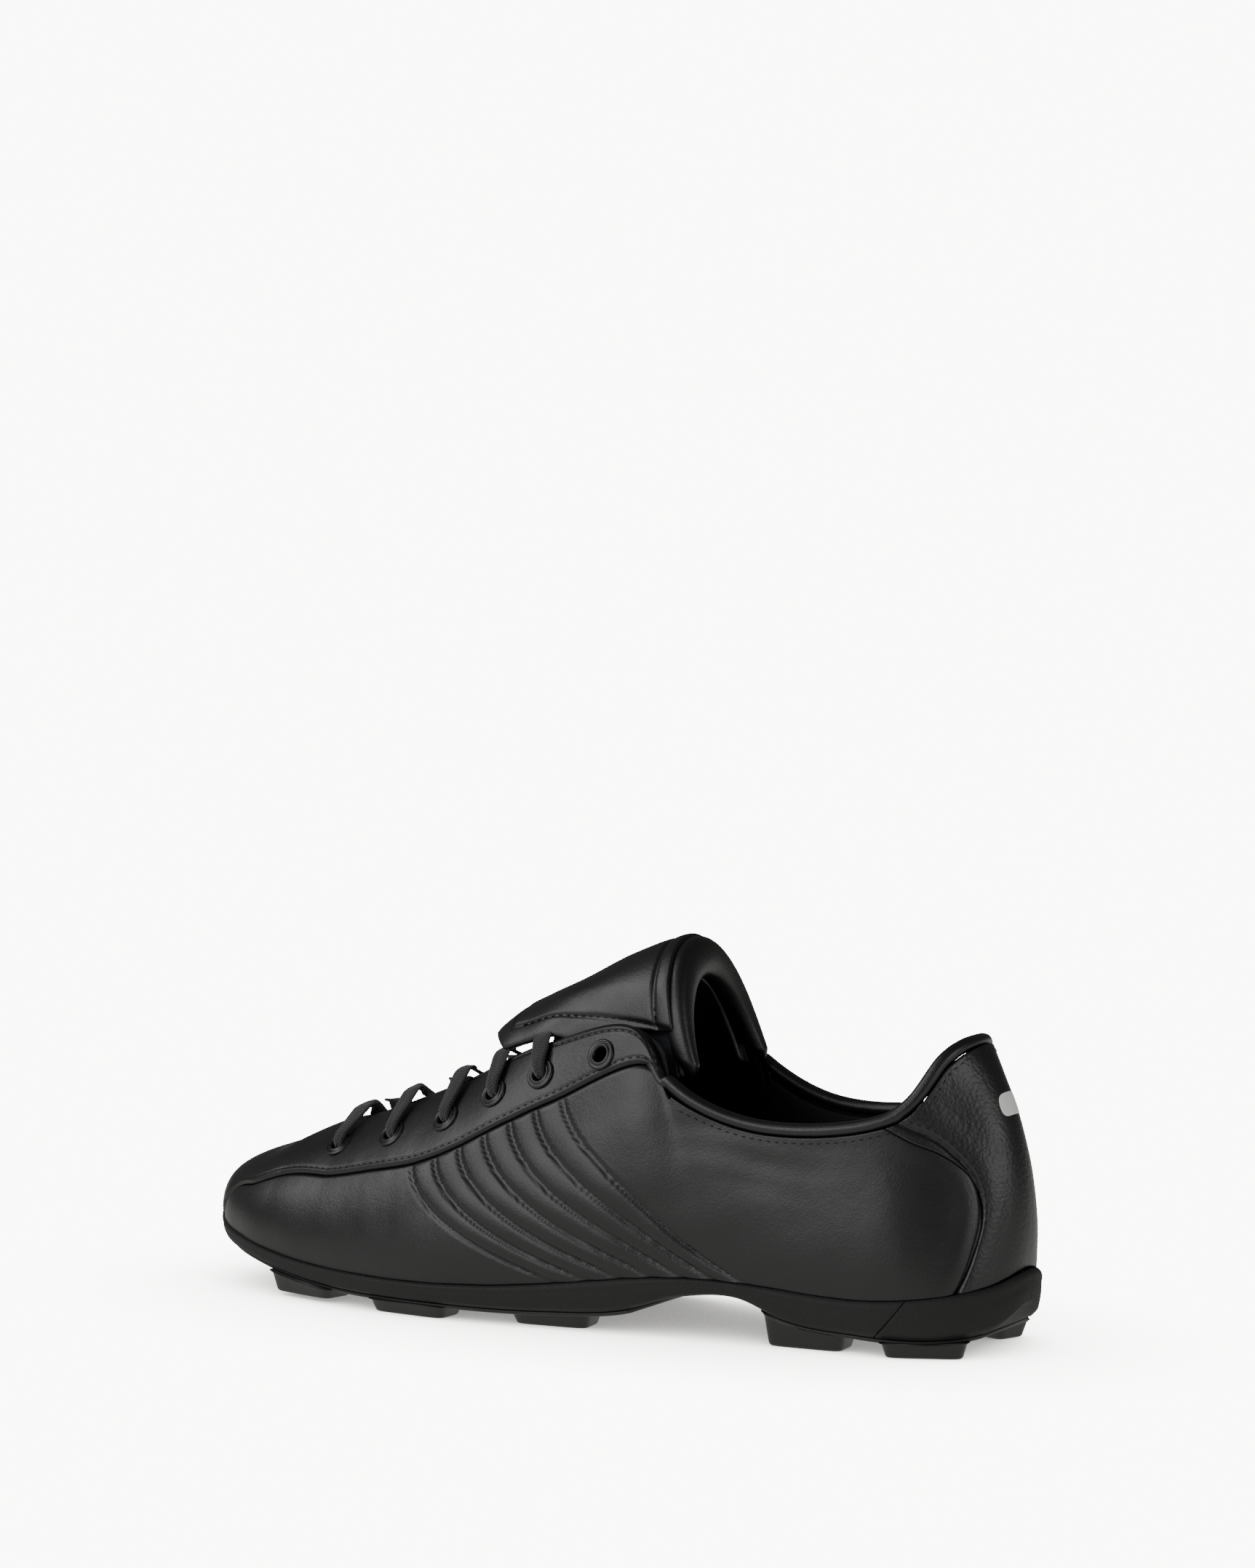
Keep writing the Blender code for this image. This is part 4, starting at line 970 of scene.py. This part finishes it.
x, v = np.meshgrid(np.linspace(tongue["x"][0], tongue["x"][-1], 190), np.linspace(-1, 1, 90), indexing="ij")
halfHere = smooth(tongue["x"], tongue["half"], x)
rimEnd = np.minimum(x - tongue["x"][0], 60)
rimSide = (1 - abs(v)) * halfHere * 1.25
rimShare = rimRound(rimEnd, rimSide, 1.6)
pad = .35 * ripple(arch(x, v, tongue), 8, (9, 15)) * .4
wear(archSkin("tongueFace", tongue, x, v, .45 - rimShare * .45 - pad * .3, .95 + 0 * x, mats["navy"]),
     "boot", "navy_textile", "tongue_textile_face")
tonguePad = archSkin("tonguePad", tongue, x, v, 1.0 + .3 * (1 - rimShare),
                     4.7 - .9 * (1 - rimShare) + pad, mats["calf"])
wear(tonguePad, "boot", "calf_leather", "tongue_padding", "tongue_leather")

# the flap: leather with a sewn overlay, over a navy textile facing
x, v = np.meshgrid(np.linspace(flap["x"][0] - 1.0, flap["x"][-1], 170), np.linspace(-1, 1, 150),
                   indexing="ij")
u = (x - x.min()) / (x.max() - x.min())
corner = np.clip((x - x.min()) / 11, 0, 1)
vIn = v * np.interp(x, *flap["reach"]) * (.66 + .34 * np.sqrt(1 - (1 - corner) ** 2))
halfHere = smooth(flap["x"], flap["half"], np.maximum(x, flap["x"][0]))
front = x - x.min()
sideGap = (1 - abs(v)) * halfHere * 1.3
edgeRound = rimRound(front, sideGap, 1.8)
overlayFrontD = x - flap["overlayFront"] - 3.2 * abs(v) ** 4
overlaySideD = (flap["overlaySide"] - abs(vIn)) * halfHere * 1.25
overlayD = np.minimum(overlayFrontD, overlaySideD)
foldD = flap["x"][-1] - x
lift = (flap["overlayLift"] * (1 / (1 + np.exp(-overlayD / .25)))
        - .55 * bump(overlayD, .6)
        + flap["puff"] * np.clip(overlayD / 9, 0, 1) * (1 - np.clip(overlayD / 9, 0, 1) * .25)
        + .18 * ripple(arch(x, vIn, flap), 21, (13, 24)) * edgeRound
        - .6 * bump(foldD - 4.6, .7) + .3 * bump(foldD - 1.5, 2.4))
near = -lift * edgeRound + .6 * (1 - edgeRound)
flapLeather = archSkin("flapLeather", flap, x, vIn, near, 1.35 - .2 * (1 - edgeRound), mats["calf"])
wear(flapLeather, "tongue_flap", "calf_leather", "flap_leather")
xText = np.clip(x - 1.2 * np.clip(1 - u * 6, 0, 1), x.min() - 2, None)
frontPad = flap["frontPad"] * bump(np.maximum(xText - x.min() - 1, 0), 9) * (1 - abs(v) ** 6)
navySkin = archSkin("flapTextile", flap, xText, vIn * .985, 1.45 + 0 * x,
                    2.75 + frontPad + .12 * ripple(arch(xText, vIn, flap), 5, (8, 14)), mats["navy"])
wear(navySkin, "tongue_flap", "navy_textile", "flap_textile")

# padded roll along the fold: it fills the flap's height over the tongue and thins out towards its ends
v = np.linspace(-1.2, 1.2, 190)
one = np.full_like(v, flap["x"][-1])
top = arch(one, v, flap)
up = archNormal(one, v, flap)
under = arch(one, v, tongue) - archNormal(one, v, tongue) * 4.7
half = np.clip(np.einsum("ij,ij->i", top - under, up) / 2, 2.6, 7.6)[:, None]
back = unit(top - arch(one - 1, v, flap))
path = top - up * (half - .1) + back * .6
tangent = unit(np.gradient(path, axis=0))
t = np.arange(28) * 2 * np.pi / 28
run = np.concatenate([[0], np.cumsum(np.linalg.norm(np.diff(path, axis=0), axis=1))])
ends = np.sqrt(np.clip(np.minimum(run, run[-1] - run) / 5, .05, 1))
wide = flap["foldRadius"] * 1.35 * ends[:, None]
section = np.stack([np.sign(np.cos(t)) * abs(np.cos(t)) ** .8 * wide,
                    np.sign(np.sin(t)) * abs(np.sin(t)) ** .8 * half * ends[:, None]], -1)
foldRoll = tube("tongueFold", path, back, np.cross(tangent, back), section, mats["calf"])
wear(foldRoll, "boot", "calf_leather", "tongue_fold")

# stitches of the flap
flapThreads = []


def onFlap(x, v, out=.0):
    normal = archNormal(x, v, flap)
    return arch(x, v, flap) + normal * np.broadcast_to(out, np.shape(x))[..., None], normal


for side in (-1, 1):
    xs = np.linspace(flap["overlayFront"] + 4.5, flap["x"][-1] - 7, 140)
    halfRow = smooth(flap["x"], flap["half"], xs) * 1.25
    vs = side * (flap["overlaySide"] - .1 / halfRow)
    flapThreads.append(stitchRow(*onFlap(xs, vs, -.1)))
vs = np.linspace(-.8, .8, 100)
flapThreads.append(stitchRow(*onFlap(flap["overlayFront"] + .1 + 3.2 * abs(vs) ** 4, vs, -.1)))
vs = np.linspace(-.9, .9, 220)
flapThreads.append(stitchRow(*onFlap(np.full_like(vs, flap["x"][-1] - 4.6), vs, .15)))
threadObject("flapThreads", flapThreads, "tongue_flap")
print("tongue and flap made")

# ---- lace: a flat woven band, gathered where it passes through an eyelet

lace = {"width": 7.0, "thickness": 1.15, "gatherWidth": 3.9, "gatherThickness": 1.9, "pairs": 5}


def laceSpots():
    # control points with the band's facing and its gathering, up each side in turn
    deep = last["wall"] + 1.1 + 2.3

    def through(pair, side, sign):
        centre, out, up = eyeletFrame(pair, side)
        edgePoint = topEdge(eyelets["station"][pair] if side < 0 else 2 - eyelets["station"][pair])
        reach = np.linalg.norm(edgePoint - centre)
        return [(centre + up * (reach + 3) - out * deep, sign * out, .2),
                (centre + up * 4.4 - out * deep, sign * out, .6),
                (centre - out * (deep - .2), sign * (out + up), 1.0),
                (centre - out * 3, sign * up, 1.0),
                (centre + out * .9, sign * (up - out * .4), 1.0),
                (centre + up * 2.9 + out * 2.1, -sign * (out - up * .3), .7),
                (centre + up * (reach * .75) + out * 1.35, -sign * out, .15),
                (centre + up * (reach + .6) + out * .9, -sign * out, 0),
                (centre + up * (reach + 4.0) - out * 1.2, -sign * out, 0)]

    def strand(side):
        spots, sign = [], 1
        for pair in range(lace["pairs"]):
            spots += through(pair, side, sign)
            if pair < lace["pairs"] - 1:
                x = (topEdge(eyelets["station"][pair])[0] + topEdge(eyelets["station"][pair + 1])[0]) / 2
                lift = 1.0 + (0.0 if side < 0 else 1.3)
                spots.append((arch(x, 0.0, tongue) + [0, 0, lift], -sign * np.array([0, 0, 1.0]), 0))
            side, sign = -side, -sign
        return spots, -side, sign

    first, endA, signA = strand(-1)
    second, endB, signB = strand(1)

    def tail(side, lift, sign):
        spots = ((-8, .93, 1.0), (-6, .78, .5), (2, .40, lift), (-2, .12, lift), (-12, .16, lift),
                 (-20, .22, lift))
        points = []
        for k, (x, v, more) in enumerate(spots):
            n = archNormal(np.array(float(x)), np.array(side * v), flap)
            points.append((arch(np.array(float(x)), np.array(side * v), flap) - n * (4.6 + more), sign * n,
                           .8 if k == len(spots) - 1 else 0))
        return points

    head = tail(endA, 0.0, signA)
    foot = tail(endB, 2.0, signB)
    flipped = [(p, -f, g) for p, f, g in second + foot]
    return head[::-1] + first[::-1] + flipped


spots = laceSpots()
control = np.array([p for p, _, _ in spots])
facing = np.array([f for _, f, _ in spots])
gather = np.array([g for _, _, g in spots])
# keep each facing on the same side as the one before it
for k in range(1, len(facing)):
    if facing[k] @ facing[k - 1] < -.35 * np.linalg.norm(facing[k]) * np.linalg.norm(facing[k - 1]):
        facing[k] *= -1


def throughPoints(points, values, step):
    # Catmull-Rom curve through the points, sampled evenly in each span
    ends = np.concatenate([[2 * points[0] - points[1]], points, [2 * points[-1] - points[-2]]])
    place, extra = [], []
    for k in range(len(points) - 1):
        n = max(int(np.linalg.norm(points[k + 1] - points[k]) / step), 2)
        t = np.linspace(0, 1, n, endpoint=False)[:, None]
        p0, p1, p2, p3 = ends[k:k + 4]
        m1, m2 = (p2 - p0) * .25, (p3 - p1) * .25
        place.append((2 * t**3 - 3 * t**2 + 1) * p1 + (t**3 - 2 * t**2 + t) * m1 + (3 * t**2 - 2 * t**3) * p2
                     + (t**3 - t**2) * m2)
        extra.append(values[k] + (values[k + 1] - values[k]) * (3 * t**2 - 2 * t**3))
    return np.concatenate(place + [points[-1:]]), np.concatenate(extra + [values[-1:]])


path, mixed = throughPoints(control, np.concatenate([facing, gather[:, None]], 1), .6)
normal, tight = mixed[:, :3], mixed[:, 3]
for _ in range(6):
    path[1:-1] = .25 * path[:-2] + .5 * path[1:-1] + .25 * path[2:]
for _ in range(14):
    normal[1:-1] = .25 * normal[:-2] + .5 * normal[1:-1] + .25 * normal[2:]
tangent = unit(np.gradient(path, axis=0))
normal = unit(normal - np.einsum("ij,ij->i", normal, tangent)[:, None] * tangent)
side = np.cross(tangent, normal)
laceLength = np.linalg.norm(np.diff(path, axis=0), axis=1).sum()
print("lace length mm", round(float(laceLength)))
t = np.arange(22) * 2 * np.pi / 22
wide = (lace["width"] + (lace["gatherWidth"] - lace["width"]) * tight)[:, None] / 2
thick = (lace["thickness"] + (lace["gatherThickness"] - lace["thickness"]) * tight)[:, None] / 2
section = np.stack([np.sign(np.cos(t)) * abs(np.cos(t)) ** .55 * wide,
                    np.sign(np.sin(t)) * abs(np.sin(t)) ** .8 * thick], -1)
run = np.concatenate([[0], np.cumsum(np.linalg.norm(np.diff(path, axis=0), axis=1))])
uv = np.stack(np.broadcast_arrays(run[:, None], (np.cos(t) * lace["width"] / 2 + 10)[None]), -1)
uv = uv.reshape(-1, 2)
laceBand = tube("laceBand", path, side, normal, section, mats["lace"], uv)
wear(laceBand, "boot", "lace_polyester", "lace")

agletProfile = ((.02, 0), (1.25, .1), (1.35, .6), (1.35, 18.5), (1.15, 19.6), (.02, 19.9))
for k, (end, before) in enumerate(((path[0], path[4]), (path[-1], path[-5]))):
    aim = unit(end - before)
    piece = lathe(f"aglet{k + 1}", end - aim * .4, aim, agletProfile, mats["aglet"], 24)
    wear(piece, "boot", "aglet_plastic", f"aglet_{k + 1}")
print("lace laid")

# CAD pieces that stay in view keep simple finishes
finishes = {"shank": "studRubber", "insole_board": "lining", "heel_counter": "lining", "toe_puff": "lining",
            "forefoot_filler": "lining", "side_interlining_lateral": "lining", "side_interlining_medial": "lining",
            "eyestay_reinforcement_lateral": "lining", "eyestay_reinforcement_medial": "lining"}
for node, key in finishes.items():
    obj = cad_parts[node]
    obj.data.materials.clear()
    obj.data.materials.append(mats[key])

# ---- floor, light and camera

studio = {
    "background": "#f4f3f0",
    "floorRadius": 30.0,
    "azimuth": 30.0,
    "elevation": 8.6,
    "distance": 1.4,
    "target": (.003, -.0003, .050),
    "lens": 102.2,
    "whiteLevel": 11.0,
    "floorFill": .9,
    "roomLight": .12,
}


def makeFloor():
    # seen by the camera it is glowing paper with a painted contact shadow, its glow dimmed by ambient occlusion near
    # the boot; to the boot it is a grey fill from below
    n = studio["floorRadius"] * 1000
    corners = np.array([(-n, -n, 0), (n, -n, 0), (n, n, 0), (-n, n, 0)])
    mat, tree, shader = newMaterial("paperFloorWithPaintedShadow", studio["background"], .9)
    # painted contact shadow: ambient occlusion near the boot dims the paper's glow, down to 3% of the white level
    contact = addNode(tree, "ShaderNodeAmbientOcclusion", {"Distance": .07, "samples": 16})
    paintedShadowAo = addNode(tree, "ShaderNodeMath", {"operation": "POWER", 1: 1.3}, {0: contact.outputs["AO"]})
    white = studio["whiteLevel"]
    level = addNode(tree, "ShaderNodeMapRange", {"To Min": .03 * white, "To Max": white},
                    {"Value": paintedShadowAo.outputs[0]})
    shownPaperWithPaintedShadow = addNode(tree, "ShaderNodeEmission", {"Color": linear(studio["background"])},
                         {"Strength": level.outputs["Result"]})
    fill = addNode(tree, "ShaderNodeEmission", {"Color": linear(studio["background"]),
                                                "Strength": studio["floorFill"]})
    ray = addNode(tree, "ShaderNodeLightPath")
    mixed = addNode(tree, "ShaderNodeMixShader", None, {0: ray.outputs["Is Camera Ray"],
                                                       1: fill.outputs["Emission"],
                                                       2: shownPaperWithPaintedShadow.outputs["Emission"]})
    tree.nodes.remove(shader)
    tree.links.new(mixed.outputs["Shader"], tree.nodes["Material Output"].inputs["Surface"])
    floor = newObject("floor", corners + originShift, [np.arange(4)[None]], mat)


def areaLight(name, place, aim, size, power):
    light = bpy.data.lights.new(name, "AREA")
    light.shape = "RECTANGLE"
    light.size, light.size_y = size
    light.energy = power
    obj = bpy.data.objects.new(name, light)
    obj.location = place
    obj.rotation_euler = (Vector(aim) - Vector(place)).to_track_quat("-Z", "Y").to_euler()
    bpy.context.collection.objects.link(obj)


makeFloor()
world = bpy.data.worlds.new("studioWorld")
bpy.context.scene.world = world
world.use_nodes = True
tree = world.node_tree
shown = tree.nodes["Background"]
shown.inputs["Color"].default_value = linear(studio["background"])
shown.inputs["Strength"].default_value = studio["whiteLevel"]
lit = addNode(tree, "ShaderNodeBackground", {"Color": linear(studio["background"]),
                                             "Strength": studio["roomLight"]})
ray = addNode(tree, "ShaderNodeLightPath")
both = addNode(tree, "ShaderNodeMixShader", None, {0: ray.outputs["Is Camera Ray"],
                                                  1: lit.outputs["Background"],
                                                  2: shown.outputs["Background"]})
tree.links.new(both.outputs["Shader"], tree.nodes["World Output"].inputs["Surface"])
areaLight("frontSoftbox", (-.5, -1.5, .7), (0, 0, .05), (1.3, .9), 14)
areaLight("leftSoftbox", (-1.3, -.7, 1.2), (0, 0, .08), (.9, .9), 11)
areaLight("rightFill", (1.5, -.35, .5), (.1, 0, .05), (.6, .6), 5)

az, el = math.radians(studio["azimuth"]), math.radians(studio["elevation"])
direction = Vector((math.sin(az) * math.cos(el), -math.cos(az) * math.cos(el), math.sin(el)))
cam = bpy.data.cameras.new("camera")
cam.lens = studio["lens"]
cam.sensor_width = 36
cam.shift_x, cam.shift_y = .0021, .235
cam.clip_end = 200
camera = bpy.data.objects.new("camera", cam)
camera.location = Vector(studio["target"]) + direction * studio["distance"]
camera.rotation_euler = (-direction).to_track_quat("-Z", "Y").to_euler()
bpy.context.collection.objects.link(camera)
bpy.context.scene.camera = camera
print("studio ready")
